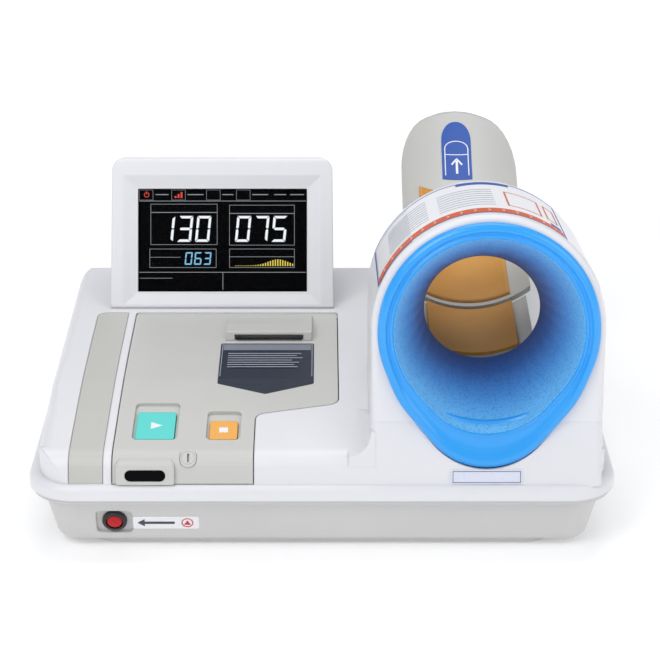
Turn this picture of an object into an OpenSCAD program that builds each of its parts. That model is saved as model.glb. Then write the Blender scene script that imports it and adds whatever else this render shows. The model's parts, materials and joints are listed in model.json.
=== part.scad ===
// Arm-in blood pressure monitor: a desk unit that the user puts one arm through.
// +X runs to the user's right, +Y to the back and +Z up. Z = 0 is the desk.
// Depths below are measured back from the front edge of the rim, and the whole
// object is then moved so that the middle of its overall depth lies on Y = 0.

/* [Case] */
// Width of the case across its rim
case_w = 480; // [460:1:580]
// Depth of the case from front rim to back rim
case_d = 390; // [380:1:470]
// Plan radius of the rim corners
corner_r = 40; // [32:1:46]
// Height of the parting line between the lower and upper case
parting_z = 53.5; // [50:0.5:62]
// Height of the rolled rim of the upper case
rim_h = 12.5; // [8:0.5:16]
// Wall of the moulded cases
wall = 3; // [2.4:0.1:3.6]
// How far the deck stands in from the rim
deck_inset = 9; // [6:0.5:12]
// Radius along the long edges of the deck
deck_edge_r = 12; // [6:0.5:16]
// Height of the foot under the tub
foot_h = 6; // [4:0.5:8]

/* [Tower] */
// Radius of the arch over the arm tunnel
arch_r = 93.5; // [90:0.5:112]
// Gap between the tower and the right side of the rim
tower_margin = 13.9; // [12:0.1:20]
// Length of the tower from front to back
tower_len = 137.6; // [125:0.5:165]
// Height of the tunnel axis at the mouth
mouth_z = 190.3; // [185:0.5:230]
// Depth at which the tunnel axis leaves the front face of the tower
mouth_y = 31; // [28:0.5:40]
// Angle at which the tunnel drops towards the back
tunnel_drop = 7; // [4:0.5:9]
// Radius of the rounded ends of the arch
arch_edge_r = 6; // [3:0.5:8]

/* [Cuff] */
// Outer radius of the inlet ring
ring_r = 88.7; // [84:0.1:90]
// Radius of the ring's chin, which hangs below the mouth
chin_r = 56; // [48:0.5:60]
// How far the chin's centre lies below the mouth's centre
chin_drop = 58.1; // [45:0.1:62]
// How far the ring stands out of the tower
ring_proud = 8; // [6:0.5:12]
// Radius of the mouth where the cuff lining starts
mouth_r = 76; // [70:0.5:78]
// Radius of the narrowest part of the cuff
throat_r = 48.8; // [42:0.1:58]
// Distance from the mouth to the throat
throat_t = 75; // [60:1:88]
// Thickness of the fabric lining
lining_t = 4; // [2:0.5:5]

/* [Armrest] */
// Width of the forearm plate
rest_w = 107; // [90:1:112]
// Width of the soft pads
pad_w = 74; // [60:1:86]
// Slope of the forearm plate where it starts
rest_slope = 3; // [1:0.5:6]
// Bend radius of the forearm plate along its length
rest_bend_r = 377; // [340:1:452]
// Radius of the hollow across the rest
hollow_r = 80; // [72:1:96]

/* [Display] */
// Width of the display head at the deck
head_w = 206; // [190:1:225]
// Height of the display's face along its slope
face_h = 139.7; // [130:0.5:160]
// Angle by which the face leans back
face_tilt = 23; // [18:0.5:27]
// Width of the lit panel
lcd_w = 155.5; // [140:0.5:160]
// Height of the lit panel
lcd_h = 94.7; // [84:0.5:98]

/* [Printer cover] */
// Width of the grey strip at the left of the deck
strip_w = 28.1; // [22:0.1:34]
// Thickness of the cover panel
lid_t = 3; // [2.5:0.1:3.6]
// Gap round the cover
lid_gap = 0.8; // [0.6:0.1:1.2]
// Depth at which the cover ends at the back
lid_back = 267; // [255:1:268]
// How far the back part of the cover runs past its front part
lid_step = 69.1; // [60:0.5:80]
// Radius of the hinge barrel at the back edge of the cover
barrel_r = 3.5; // [3:0.1:4]
// Radius of the hinge pins
hinge_pin_r = 1.5; // [1.2:0.1:1.8]

/* [Printer] */
// Width of the paper
paper_w = 58; // [50:1:62]
// Outer radius of the paper roll
roll_r = 24; // [16:0.5:25]
// Radius of the platen roller
platen_r = 5; // [4:0.1:5.6]

/* [Keys] */
// Width of the start key
start_w = 31.8; // [26:0.1:34]
// Length of the start key
start_l = 40; // [34:0.5:42]
// Width of the stop key
stop_w = 22.8; // [18:0.1:27]
// Length of the stop key
stop_l = 27; // [22:0.5:33]
// Travel of both keys
key_travel = 2; // [1.5:0.1:2.4]
// Radius of the emergency stop button
panic_r = 6.6; // [5:0.1:7.4]
// Travel of the emergency stop button
panic_travel = 3; // [2:0.1:3.6]

/* [Hidden] */

$fn = 64;
tiny = 0.01;
fit_gap = 0.3;
run_gap = 0.05;
press_gap = 0.02;
arc_step = 12;

// Colours
white_shell = [0.90, 0.90, 0.92];
tub_grey = [0.82, 0.82, 0.81];
panel_grey = [0.80, 0.80, 0.78];
strip_grey = [0.77, 0.77, 0.76];
teal = [0.49, 0.90, 0.87];
orange = [0.97, 0.78, 0.47];
signal_red = [0.75, 0.14, 0.16];
black_plastic = [0.05, 0.05, 0.05];
ring_blue = [0.16, 0.62, 0.92];
lining_blue = [0.27, 0.56, 0.82];
amber = [0.82, 0.62, 0.32];
rest_grey = [0.76, 0.76, 0.75];
navy = [0.09, 0.13, 0.19];
label_blue = [0.18, 0.33, 0.67];
steel = [0.72, 0.73, 0.75];
board_green = [0.10, 0.38, 0.22];

// ---- Shared geometry ----------------------------------------------------

function unit(v) = v / norm(v);

// Points of the arc that rounds the corner p between its neighbours a and b
function corner_arc(a, p, b, r) =
    let (
        u = unit(a - p),
        v = unit(b - p),
        half = acos(u * v) / 2,
        centre = p + unit(u + v) * r / sin(half),
        from = p + u * r / tan(half) - centre,
        to = p + v * r / tan(half) - centre,
        turn = atan2(from.x * to.y - from.y * to.x, from * to),
        steps = max(2, ceil(abs(turn) / arc_step)),
        start = atan2(from.y, from.x)
    )
    [for (i = [0:steps]) centre + r * [cos(start + turn * i / steps), sin(start + turn * i / steps)]];

// Outline through corners given as [x, y, radius]
function rounded(corners) =
    let (n = len(corners), at = function (i) [corners[i % n].x, corners[i % n].y])
    [for (i = [0:n - 1]) each
        corners[i].z > 0 ? corner_arc(at(i + n - 1), at(i), at(i + 1), corners[i].z) : [at(i)]];

// Moves what is measured back from the rim into the object's frame
module in_frame() {
    translate([0, -overall_d / 2, 0]) children();
}

// Rectangle with round corners, centred
module round_rect(w, d, r) {
    square([w - 2 * r, d], center = true);
    square([w, d - 2 * r], center = true);
    for (sx = [-1, 1]) {
        for (sy = [-1, 1]) {
            translate([sx * (w / 2 - r), sy * (d / 2 - r)]) circle(r);
        }
    }
}

// Upright block with round corners, centred in plan, standing on z = 0
module round_block(w, d, r, h) {
    linear_extrude(h) round_rect(w, d, r);
}

// Carries a profile round a rounded rectangle centred in plan. The profile's x runs
// outward from the corner centres, and z0 and z1 are its lowest and highest point
module swept_block(w, d, r, z0, z1) {
    for (k = [0:3]) {
        across = k % 2 == 0 ? w : d;
        along = k % 2 == 0 ? d : w;
        rotate(90 * k) translate([across / 2 - r, along / 2 - r, 0]) {
            rotate_extrude(angle = 90) children();
            rotate([90, 0, 0]) linear_extrude(along - 2 * r) children();
        }
    }
    translate([r - w / 2, r - d / 2, z0]) cube([w - 2 * r, d - 2 * r, z1 - z0]);
}

// Extrudes a [depth, height] outline across X, centred on x
module across_x(x, w) {
    translate([x - w / 2, 0, 0]) rotate([90, 0, 90]) linear_extrude(w) children();
}

// Cylinder along X
module rod_x(x0, x1, y, z, r) {
    translate([x0, y, z]) rotate([0, 90, 0]) cylinder(r = r, h = x1 - x0);
}

// Tube standing on z = 0
module tube(r_out, r_in, h) {
    difference() {
        cylinder(r = r_out, h = h);
        translate([0, 0, -tiny]) cylinder(r = r_in, h = h + 2 * tiny);
    }
}

// ---- Case ---------------------------------------------------------------

// The forearm plate's path in [depth, height]: one long bend that rises to the back
rest_start = [194, mouth_z - 46.3];
rest_turn = 41;
rest_t = 4;
rest_centre = rest_start + rest_bend_r * [-sin(rest_slope), cos(rest_slope)];
function rest_at(turn) = rest_centre + rest_bend_r * [sin(rest_slope + turn), -cos(rest_slope + turn)];
rest_end = rest_at(rest_turn);
overall_d = rest_centre.x + (rest_bend_r + rest_t) * sin(rest_slope + rest_turn);

tub_slope = 15;
tub_top_inset = 10.4;
lip_h = 4;
lip_inset = 2.5;
lip_z = parting_z - lip_h;
tub_bottom_inset = tub_top_inset + (lip_z - foot_h) * tan(tub_slope);
tub_bottom_r = 8;
foot_inset_x = 47;
foot_inset_y = 28;
foot_corner_r = 24;
foot_skin = 2;
floor_z = foot_h + wall;
rim_top_z = parting_z + rim_h;
rim_r = 6;
case_gap = fit_gap;

deck_half_w = case_w / 2 - deck_inset;
edge_spare = 0.2;
deck_corner_r = corner_r - 6;
nose_y = 5.4;
nose_top = [12.7, parting_z + 34.4];
nose_lean = atan((nose_top.x - nose_y) / (nose_top.y - rim_top_z));
nose_r = 18;
deck_crest = [130, parting_z + 50.8];
deck_crest_r = 900;
deck_back = [case_d - 8, parting_z + 57];
deck_back_r = 10;

// Outline of the deck's side view, from the front nose to the back edge
function deck_side(base) = rounded([
    [nose_y, base, 0],
    [nose_y, rim_top_z, 0],
    [nose_top.x, nose_top.y, nose_r],
    [deck_crest.x, deck_crest.y, deck_crest_r],
    [deck_back.x, deck_back.y, deck_back_r],
    [deck_back.x, base, 0]
]);

// Height of the deck's skin where the cover, keys and head sit
function deck_z(y) = y < deck_crest.x
    ? nose_top.y + (deck_crest.y - nose_top.y) * (y - nose_top.x) / (deck_crest.x - nose_top.x)
    : deck_crest.y + (deck_back.y - deck_crest.y) * (y - deck_crest.x) / (deck_back.x - deck_crest.x);
front_slope = atan((deck_crest.y - nose_top.y) / (deck_crest.x - nose_top.x));
back_slope = atan((deck_back.y - deck_crest.y) / (deck_back.x - deck_crest.x));

// Plan of the whole case, drawn in by inset
module case_plan(inset) {
    translate([0, case_d / 2]) round_rect(case_w - 2 * inset, case_d - 2 * inset, corner_r - inset);
}

module lower_form(inset, bottom) {
    translate([0, case_d / 2, 0]) swept_block(case_w, case_d, corner_r, bottom, lip_z) {
        polygon(rounded([
            [0, bottom, 0],
            [corner_r - tub_bottom_inset - inset, bottom, tub_bottom_r],
            [corner_r - tub_top_inset - inset, lip_z, 0],
            [0, lip_z, 0]
        ]));
    }
}

boss_r = 4.5;
screw_hole_r = 1.4;
boss_x = case_w / 2 - 38;
boss_rows = [40, case_d - 44];
boss_spots = [for (sx = [-1, 1]) for (y = boss_rows) [sx * boss_x, y]];
boss_top = parting_z - case_gap;

panic_x = -deck_half_w + 61.3;
panic_z = 26.5;
panic_pocket = 30;
panic_pocket_depth = 3;
panic_lean = tub_slope;
inlet_x = -deck_half_w + 49;
rocker_x = inlet_x + 52;
inlet_z = 29;
inlet_w = 27.5;
inlet_h = 20;
inlet_flange_w = 50;
inlet_flange_h = 23;
rocker_w = 27;
rocker_h = 21;
back_panel_y = case_d - 25;
vent_w = 3;
vent_l = 34;

// Depth of the tub's outer skin at the front, at height z
function tub_front(z) = tub_top_inset + (lip_z - z) * tan(tub_slope);

// Puts things on the sloping front skin at x and height z, with +Z pointing out of it
module on_tub_front(x, z) {
    translate([x, tub_front(z), z]) rotate([90 + panic_lean, 0, 0]) children();
}

module lower_case() {
    color(tub_grey) in_frame() difference() {
        union() {
            difference() {
                union() {
                    lower_form(0, foot_h);
                    translate([0, 0, lip_z]) linear_extrude(lip_h - case_gap) case_plan(lip_inset);
                    translate([0, case_d / 2, foot_skin]) round_block(
                        case_w - 2 * foot_inset_x, case_d - 2 * foot_inset_y, foot_corner_r, foot_h - foot_skin + 1);
                }
                lower_form(wall, floor_z);
                translate([0, 0, lip_z - tiny]) linear_extrude(lip_h + 1) case_plan(tub_top_inset + wall);
            }
            for (spot = boss_spots) {
                translate([spot.x, spot.y, foot_h]) cylinder(r = boss_r, h = boss_top - foot_h);
            }
            // flat panel at the back that carries the inlet and the rocker
            translate([(inlet_x + rocker_x) / 2, back_panel_y, inlet_z]) {
                cube([118, 2 * wall, 36], center = true);
            }
            on_tub_front(panic_x, panic_z) translate([0, 0, -panic_pocket_depth - wall]) {
                round_block(panic_pocket + 2 * wall, panic_pocket - 6 + 2 * wall, 5, panic_pocket_depth + wall - 1);
            }
        }
        // recess in the back wall, as deep as the flat panel
        translate([(inlet_x + rocker_x) / 2, back_panel_y + wall + 20, inlet_z]) {
            cube([112, 40, 30], center = true);
        }
        translate([inlet_x, back_panel_y, inlet_z]) cube([inlet_w, 20, inlet_h], center = true);
        translate([rocker_x, back_panel_y, inlet_z]) cube([rocker_w, 20, rocker_h], center = true);
        on_tub_front(panic_x, panic_z) {
            translate([0, 0, -panic_pocket_depth]) round_block(panic_pocket, panic_pocket - 6, 4, 20);
            translate([0, 0, -20]) cylinder(r = panic_r + 2.4, h = 40);
        }
        for (spot = boss_spots) {
            translate([spot.x, spot.y, -1]) cylinder(r = screw_hole_r + 0.4, h = parting_z + 2);
            translate([spot.x, spot.y, -1]) cylinder(r = 3.4, h = foot_h + 5);
        }
        for (i = [-4:4]) {
            translate([i * 9 - 100, case_d - 90, -1]) round_block(vent_w, vent_l, 1.4, 12);
            translate([i * 9 + 100, case_d - 90, -1]) round_block(vent_w, vent_l, 1.4, 12);
        }
        for (spot = pad_spots) {
            translate([spot.x, spot.y, -1]) cylinder(r = pad_r + fit_gap, h = 1 + foot_skin + 1.5);
        }
    }
}

pad_r = 9;
pad_spots = [for (sx = [-1, 1]) for (y = [foot_inset_y + 18, case_d - foot_inset_y - 18])
    [sx * (case_w / 2 - foot_inset_x - 18), y]];

module rubber_feet() {
    color(black_plastic) in_frame() for (spot = pad_spots) {
        translate([spot.x, spot.y, 0]) {
            cylinder(r1 = pad_r - 1, r2 = pad_r, h = 1);
            translate([0, 0, 1]) cylinder(r = pad_r, h = foot_skin + 0.5);
        }
    }
}

module case_screws() {
    color(steel) in_frame() for (spot = boss_spots) {
        translate([spot.x, spot.y, foot_h + 1]) difference() {
            union() {
                cylinder(r = 2.9, h = 3);
                translate([0, 0, 3]) cylinder(r = screw_hole_r, h = boss_top - foot_h + 4);
            }
            translate([0, 0, -tiny]) {
                cube([4, 0.8, 2.4], center = true);
                cube([0.8, 4, 2.4], center = true);
            }
        }
    }
}

// Outside form of the rim, drawn in by inset
module rim_form(inset) {
    translate([0, case_d / 2, 0]) swept_block(
        case_w, case_d, corner_r, parting_z - (inset > 0 ? 1 : 0), rim_top_z - inset) {
        polygon(rounded([
            [0, parting_z - (inset > 0 ? 1 : 0), 0],
            [corner_r - inset, parting_z - (inset > 0 ? 1 : 0), 0],
            [corner_r - inset, rim_top_z - inset, rim_r],
            [0, rim_top_z - inset, 0]
        ]));
    }
}

// Outside form of the deck, drawn in by inset
module deck_form(inset) {
    base = rim_top_z - 8;
    intersection() {
        union() {
            // the rounded nose, up to where the front slope starts
            across_x(0, 2 * deck_half_w) intersection() {
                offset(delta = -inset) polygon(deck_side(base - 20));
                square([nose_top.x + 14, 200]);
            }
            deck_run([nose_top.x, nose_top.y], deck_crest, inset);
            deck_run(deck_crest, deck_back, inset);
        }
        translate([0, case_d / 2, base]) linear_extrude(100) {
            round_rect(2 * (deck_half_w - inset), case_d - 2 * (nose_y + inset), deck_corner_r - inset);
        }
        // keeps the slopes under the rounded nose and back edge
        across_x(0, case_w) offset(delta = -inset) polygon(deck_side(base - 20));
    }
}

// One straight stretch of the deck with round long edges
module deck_run(from, to, inset) {
    slope = atan((to.y - from.y) / (to.x - from.x));
    translate([0, from.x, from.y]) rotate([slope, 0, 0]) rotate([90, 0, 0]) {
        mirror([0, 0, 1]) linear_extrude(norm(to - from)) {
            w = 2 * (deck_half_w - inset + edge_spare);
            r = deck_edge_r - inset;
            translate([-w / 2, -70 - inset]) square([w, 70 - r]);
            translate([r - w / 2, -r - inset - 1]) square([w - 2 * r, r + 1]);
            for (sx = [-1, 1]) translate([sx * (w / 2 - r), -r - inset]) circle(r);
        }
    }
}

tower_x = case_w / 2 - tower_margin - arch_r;
leg_drop = mouth_z - rim_top_z - 6;

// Puts things in the tunnel's frame: +Z along the tunnel to the back, +Y downwards
module in_tunnel() {
    translate([tower_x, mouth_y, mouth_z]) rotate([-90 - tunnel_drop, 0, 0]) children();
}

// Arch with straight legs, lying along +Z from z0 to z1 with rounded ends
module arch_form(r, z0, z1, edge, leg) {
    rotate([0, 0, 180]) rotate_extrude(angle = 180) {
        translate([0, z0]) square([r - edge, z1 - z0]);
        translate([0, z0 + edge]) square([r, z1 - z0 - 2 * edge]);
        translate([r - edge, z0 + edge]) circle(edge);
        translate([r - edge, z1 - edge]) circle(edge);
    }
    translate([0, leg, 0]) rotate([90, 0, 0]) linear_extrude(leg) {
        translate([0, (z0 + z1) / 2]) round_rect(2 * r, z1 - z0, edge);
    }
}

// Leaning block that carries the nose's front plane up into the tower's face
apron_h = 50.9;
module apron() {
    intersection() {
        translate([tower_x, nose_y, rim_top_z]) rotate([-nose_lean, 0, 0]) translate([0, 20, -6]) {
            linear_extrude(apron_h + 6) round_rect(2 * arch_r, 40, arch_edge_r);
        }
        translate([-case_w / 2, nose_y, rim_top_z - 2]) cube([case_w, case_d, 60]);
    }
}

// Hollow cove where the tower's left side meets the deck
cove_r = 18;
cove_front = 19;
cove_slope = front_slope - 1.6;
module cove() {
    intersection() {
        translate([tower_x - arch_r, 0, deck_z(cove_front) - cove_front * tan(cove_slope)]) {
            rotate([cove_slope, 0, 0]) rotate([90, 0, 0]) mirror([0, 0, 1]) {
                linear_extrude(tower_len + 10) difference() {
                    translate([-cove_r, -8]) square([cove_r + 4, cove_r + 8]);
                    translate([-cove_r, cove_r]) circle(cove_r);
                }
            }
        }
        translate([0, nose_y, rim_top_z]) rotate([-nose_lean, 0, 0]) translate([-case_w / 2, 0, -6]) {
            cube([case_w, case_d, 60]);
        }
    }
}

strip_x = -deck_half_w + 40.55;
lid_left = -deck_half_w + 62.1;
lid_right = tower_x - arch_r - 25.6;
lid_mid = lid_right - lid_step;
lid_front = nose_y;
step_front = 74.5;
step_back = 91;
lid_corner_r = 10;
lid_back_r = 7;
lid_bay_r = 3;
hinge_y = lid_back - barrel_r;
hinge_z = deck_z(hinge_y) - barrel_r;
strip_depth = 1.2;

// Plan of the L-shaped cover, grown by gap
module lid_plan(gap) {
    offset(delta = gap) polygon(rounded([
        [lid_left, lid_front - 4, 0],
        [lid_mid, lid_front - 4, 0],
        [lid_mid, step_front, lid_corner_r],
        [lid_right, step_back, lid_corner_r],
        [lid_right, lid_back, lid_back_r],
        [lid_left, lid_back, lid_back_r]
    ]));
}

// Side view of a skin that follows the deck between two depths below its surface
module deck_skin(top, bottom) {
    difference() {
        offset(delta = -top) polygon(deck_side(rim_top_z - 20));
        offset(delta = -bottom) polygon(deck_side(rim_top_z - 20 - wall));
        translate([0, rim_top_z - 60]) square([case_d, 60 + lid_gap]);
        translate([case_d - 60, 0]) square([60, 200]);
    }
}

module strip_plan(gap) {
    translate([strip_x, 0]) offset(delta = gap) polygon(rounded([
        [-strip_w / 2, -4, 0], [strip_w / 2, -4, 0],
        [strip_w / 2, lid_back + 1, 3], [-strip_w / 2, lid_back + 1, 9]
    ]));
}

module strip_inlay() {
    color(strip_grey) in_frame() intersection() {
        across_x(0, case_w) deck_skin(0.2, strip_depth);
        translate([0, 0, rim_top_z + 0.8]) linear_extrude(100) strip_plan(-0.4);
    }
}

hood_x = (lid_mid + lid_right) / 2 - 26;
printer_x = hood_x;

module upper_case() {
    color(white_shell) in_frame() difference() {
        union() {
            difference() {
                union() {
                    rim_form(0);
                    deck_form(0);
                    in_tunnel() arch_form(arch_r, 0, tower_len, arch_edge_r, leg_drop);
                    cove();
                    apron();
                }
                rim_form(wall);
                deck_form(wall);
                in_tunnel() intersection() {
                    arch_form(arch_r - wall, wall, tower_len + 20, 3, leg_drop + 20);
                    translate([0, 0, tower_len / 2 + tiny]) cube([case_w, 2 * case_d, tower_len], center = true);
                }
            }
            // bosses over the lower case's columns
            for (spot = boss_spots) {
                translate([spot.x, spot.y, parting_z]) cylinder(r = boss_r, h = deck_z(spot.y) - parting_z - 2);
            }
            // rib that ties the boss inside the tower to the front wall
            translate([boss_x - 1.2, nose_y + 4, parting_z + 11]) {
                cube([2.4, boss_rows[0] - nose_y - 4, rim_h]);
            }
            // ears that carry the cover's hinge pins
            for (x = [lid_left - lid_gap - 8, lid_right + lid_gap]) {
                translate([x, hinge_y - 5, hinge_z - 6]) cube([8, 10, 7.5]);
            }
        }
        translate([0, 0, rim_top_z]) linear_extrude(100) lid_plan(lid_gap);
        // sharper back corners, which the turning hinge barrel clears
        translate([(lid_left + lid_right) / 2, lid_back + lid_gap - 7, rim_top_z]) {
            round_block(lid_right - lid_left + 2 * lid_gap, 14, lid_bay_r, 100);
        }
        intersection() {
            across_x(0, case_w) deck_skin(-2, strip_depth + fit_gap);
            translate([0, 0, rim_top_z + 0.6]) linear_extrude(100) strip_plan(0);
        }
        for (x = [lid_left, lid_right]) rod_x(x - 9, x + 9, hinge_y, hinge_z, hinge_pin_r + press_gap);
        in_tunnel() translate([0, 0, -20]) linear_extrude(20) ring_outline(-fit_gap);
        in_tunnel() translate([0, 0, -20]) cylinder(r = mouth_r + 5, h = 40);
        for (spot = boss_spots) {
            translate([spot.x, spot.y, parting_z - 1]) cylinder(r = screw_hole_r, h = 13);
        }
        // cable way into the display head
        translate([head_x, head_y + 34, deck_z(head_y) - 10]) round_block(60, 16, 6, 30);
    }
}

badge_w = 57.8;
badge_h = 11.5;
module badge_plate() {
    color([0.88, 0.90, 0.95]) in_frame() translate([tower_x, nose_y, rim_top_z]) rotate([90 - nose_lean, 0, 0]) {
        translate([0, badge_h / 2 + 0.8, run_gap]) round_block(badge_w, badge_h, 1.5, 1);
    }
}

// ---- Printer cover and what rides on it ---------------------------------

lid_low = rim_top_z + lid_gap;
key_front = 38;
start_x = lid_left + 32;
stop_x = lid_mid - 25.2;
pocket_margin = 4.6;
pocket_back = 14;
pocket_depth = 3;
pocket_skin = 2;
key_gap = 0.4;
key_under = pocket_depth + pocket_skin + 3;
key_lip = 1.4;
board_drop = key_under + key_travel + 6.2;
board_t = 1.6;
board_left = start_x - start_w / 2 - 10;
board_right = stop_x + stop_w / 2 + 10;
board_x = (board_left + board_right) / 2;
board_w = board_right - board_left;
board_l = 40;
board_y = key_front + 20;
post_r = 2;
post_spots = [for (sx = [-1, 1]) for (sy = [-1, 1])
    [board_x + sx * (board_w / 2 - 3), board_y + sy * (board_l / 2 - 3)]];

lock_x = lid_mid - 52.3;
lock_y = 15.2;
lock_tilt = 40;
lock_r = 5.6;
lock_len = 15;
sensor_x = lid_left + 26.5;
sensor_z = rim_top_z + 8.6;
sensor_w = 32.3;
sensor_h = 8.6;
sensor_lean = 16;
visor_w = 47;

hood_w = 76;
hood_front = 206;
hood_back = 259;
hood_h = 8;
hood_wall = 2;
mouth_w = paper_w + 3;
slot_l = 8;

// Puts things on the front slope of the deck, with +Z square to it
module on_deck(x, y) {
    translate([x, y, deck_z(y)]) rotate([front_slope, 0, 0]) children();
}

// Puts things on the lock's axis, with +Z out of the cover
module on_lock() {
    translate([lock_x, lock_y, rim_top_z + 19.2]) rotate([lock_tilt, 0, 0]) children();
}

// Puts things on the sensor's window, with +Z out of the cover
module on_sensor() {
    translate([sensor_x, nose_y - 1.4, sensor_z]) rotate([90 - sensor_lean, 0, 0]) children();
}

module key_pocket(x, w, l, depth, margin) {
    on_deck(x, key_front + (l + pocket_back) / 2 - 1) translate([0, 0, -depth]) {
        round_block(w + 2 * margin, l + pocket_back + 2 * margin - 4, 5, depth + 12);
    }
}

module obround(w, h) {
    square([w - h, h], center = true);
    for (sx = [-1, 1]) translate([sx * (w - h) / 2, 0]) circle(h / 2);
}

module cover_panel() {
    color(panel_grey) in_frame() difference() {
        union() {
            intersection() {
                union() {
                    across_x(0, case_w) intersection() {
                        deck_skin(0, lid_t);
                        square([hinge_y, 200]);
                    }
                    rod_x(lid_left, lid_right, hinge_y, hinge_z, barrel_r);
                }
                translate([0, 0, lid_low]) linear_extrude(100) lid_plan(0);
            }
            // visor round the sensor's window
            intersection() {
                across_x(sensor_x, visor_w) polygon(rounded([
                    [nose_y - 2.2, lid_low, 0], [nose_y - 2.2, lid_low + 2, 1],
                    [nose_y + 2.4, rim_top_z + 18.5, 5], [nose_y + 14, rim_top_z + 20, 0],
                    [nose_y + 14, rim_top_z + 16, 0], [nose_y + 4, lid_low, 0]
                ]));
                translate([sensor_x, 0, lid_low - 4]) rotate([90, 0, 0]) translate([0, 12, -30]) {
                    round_block(visor_w, 24, 7, 60);
                }
            }
            intersection() {
                union() {
                    key_pocket(start_x, start_w, start_l, pocket_depth + pocket_skin, pocket_margin);
                    key_pocket(stop_x, stop_w, stop_l, pocket_depth + pocket_skin, pocket_margin);
                }
                across_x(0, case_w) offset(delta = -1) polygon(deck_side(rim_top_z - 20));
            }
            for (spot = post_spots) {
                on_deck(spot.x, spot.y) translate([0, 0, -board_drop]) cylinder(r = post_r, h = board_drop - 1);
            }
            on_lock() translate([0, 0, -9]) cylinder(r = lock_r + 2.4, h = 8);
        }
        key_pocket(start_x, start_w, start_l, pocket_depth, pocket_margin - pocket_skin);
        key_pocket(stop_x, stop_w, stop_l, pocket_depth, pocket_margin - pocket_skin);
        on_deck(start_x, key_front + start_l / 2) key_block(start_w, start_l, key_gap, -20, 20);
        on_deck(stop_x, key_front + stop_l / 2) key_block(stop_w, stop_l, key_gap, -20, 20);
        on_lock() translate([0, 0, -30]) cylinder(r = lock_r + run_gap, h = 40);
        on_lock() translate([0, 0, -0.9]) round_oval(lock_r + 1.1 + fit_gap, 2.6, 10);
        on_sensor() translate([0, 0, -3]) linear_extrude(20) obround(sensor_w + 0.6, sensor_h + 0.6);
        translate([hood_x - mouth_w / 2, hood_front + 4, deck_z(hood_front) - 20]) {
            cube([mouth_w, slot_l, 40]);
        }
        for (x = [lid_left - 1, lid_right - 8]) {
            rod_x(x, x + 9, hinge_y, hinge_z, hinge_pin_r + run_gap);
        }
    }
}

// Oval plate standing on z = 0, stretched along Y
module round_oval(r, stretch, h) {
    linear_extrude(h) {
        for (sy = [-1, 1]) translate([0, sy * stretch / 2]) circle(r);
        square([2 * r, stretch], center = true);
    }
}

module key_block(w, l, grow, z0, z1) {
    translate([0, 0, z0]) round_block(w + 2 * grow, l + 2 * grow, 2.2 + grow, z1 - z0);
}

// Key cap with a lip under the cover and a post over its switch
module key_cap(x, w, l) {
    on_deck(x, key_front + l / 2) difference() {
        union() {
            key_block(w, l, 0, -key_under, -0.6);
            key_block(w, l, key_lip, -key_under, -key_under + 1.2);
            translate([0, 0, -key_under - 1.5]) cylinder(r = 3, h = 3);
        }
        difference() {
            key_block(w, l, -1.8, -key_under - 1, -2.6);
            translate([0, 0, -20]) cylinder(r = 3, h = 30);
            translate([-w / 2, -0.6, -20]) cube([w, 1.2, 30]);
        }
    }
}

module start_key() {
    color(teal) in_frame() key_cap(start_x, start_w, start_l);
}

module stop_key() {
    color(orange) in_frame() key_cap(stop_x, stop_w, stop_l);
}

// Places something under each key
module under_keys() {
    on_deck(start_x, key_front + start_l / 2) children();
    on_deck(stop_x, key_front + stop_l / 2) children();
}

module key_board() {
    color(board_green) in_frame() difference() {
        on_deck(board_x, board_y) translate([0, 0, -board_drop - board_t]) round_block(board_w, board_l, 2, board_t);
        for (spot = post_spots) {
            on_deck(spot.x, spot.y) translate([0, 0, -board_drop - 4]) cylinder(r = 1.1, h = 6);
        }
    }
}

switch_w = 12;
module key_switches() {
    color(black_plastic) in_frame() under_keys() translate([0, 0, -board_drop]) {
        round_block(switch_w, switch_w, 1, 3.2);
        cylinder(r = 3.4, h = board_drop - key_under - 1.5 - key_travel - fit_gap);
    }
}

module cover_hinge_pins() {
    color(steel) in_frame() {
        rod_x(lid_left - 7, lid_left + 7, hinge_y, hinge_z, hinge_pin_r);
        rod_x(lid_right - 7, lid_right + 7, hinge_y, hinge_z, hinge_pin_r);
    }
}

module lock_escutcheon() {
    color(steel) in_frame() on_lock() difference() {
        translate([0, 0, -0.8]) round_oval(lock_r + 1.1, 2.6, 1.4);
        translate([0, 0, -2]) cylinder(r = lock_r + run_gap, h = 6);
    }
}

module lock_barrel() {
    color(steel) in_frame() on_lock() difference() {
        translate([0, 0, -lock_len]) cylinder(r = lock_r, h = lock_len + 0.5);
        translate([0, 0, 0.5]) cube([1.6, 7.6, 5], center = true);
        translate([0, 0, -lock_len]) cube([4.4, 4.4, 6], center = true);
    }
}

cam_len = 17.3;
cam_r = 4.6;
module lock_cam() {
    color(steel) in_frame() on_lock() translate([0, 0, -lock_len - 2.2]) {
        linear_extrude(2) {
            circle(cam_r);
            translate([cam_r - cam_len, -cam_r]) square([cam_len - cam_r, 2 * cam_r]);
            translate([cam_r - cam_len, 0]) circle(cam_r);
        }
        translate([0, 0, 3]) cube([4.2, 4.2, 3.6], center = true);
    }
}

module sensor_window() {
    color(black_plastic) in_frame() on_sensor() translate([0, 0, -2.7]) {
        linear_extrude(2.2) obround(sensor_w, sensor_h);
    }
}

// Side view of the hood, drawn in by inset
module hood_side(inset) {
    offset(delta = -inset) polygon(rounded([
        [hood_front, deck_z(hood_front) + fit_gap, 0],
        [hood_front + 1.5, deck_z(hood_front) + hood_h, 1.5],
        [hood_front + 22, deck_z(hood_front) + hood_h, 12],
        [hood_back, deck_z(hood_back) + 1, 0.4],
        [hood_back, deck_z(hood_back) + fit_gap, 0]
    ]));
}

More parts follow.
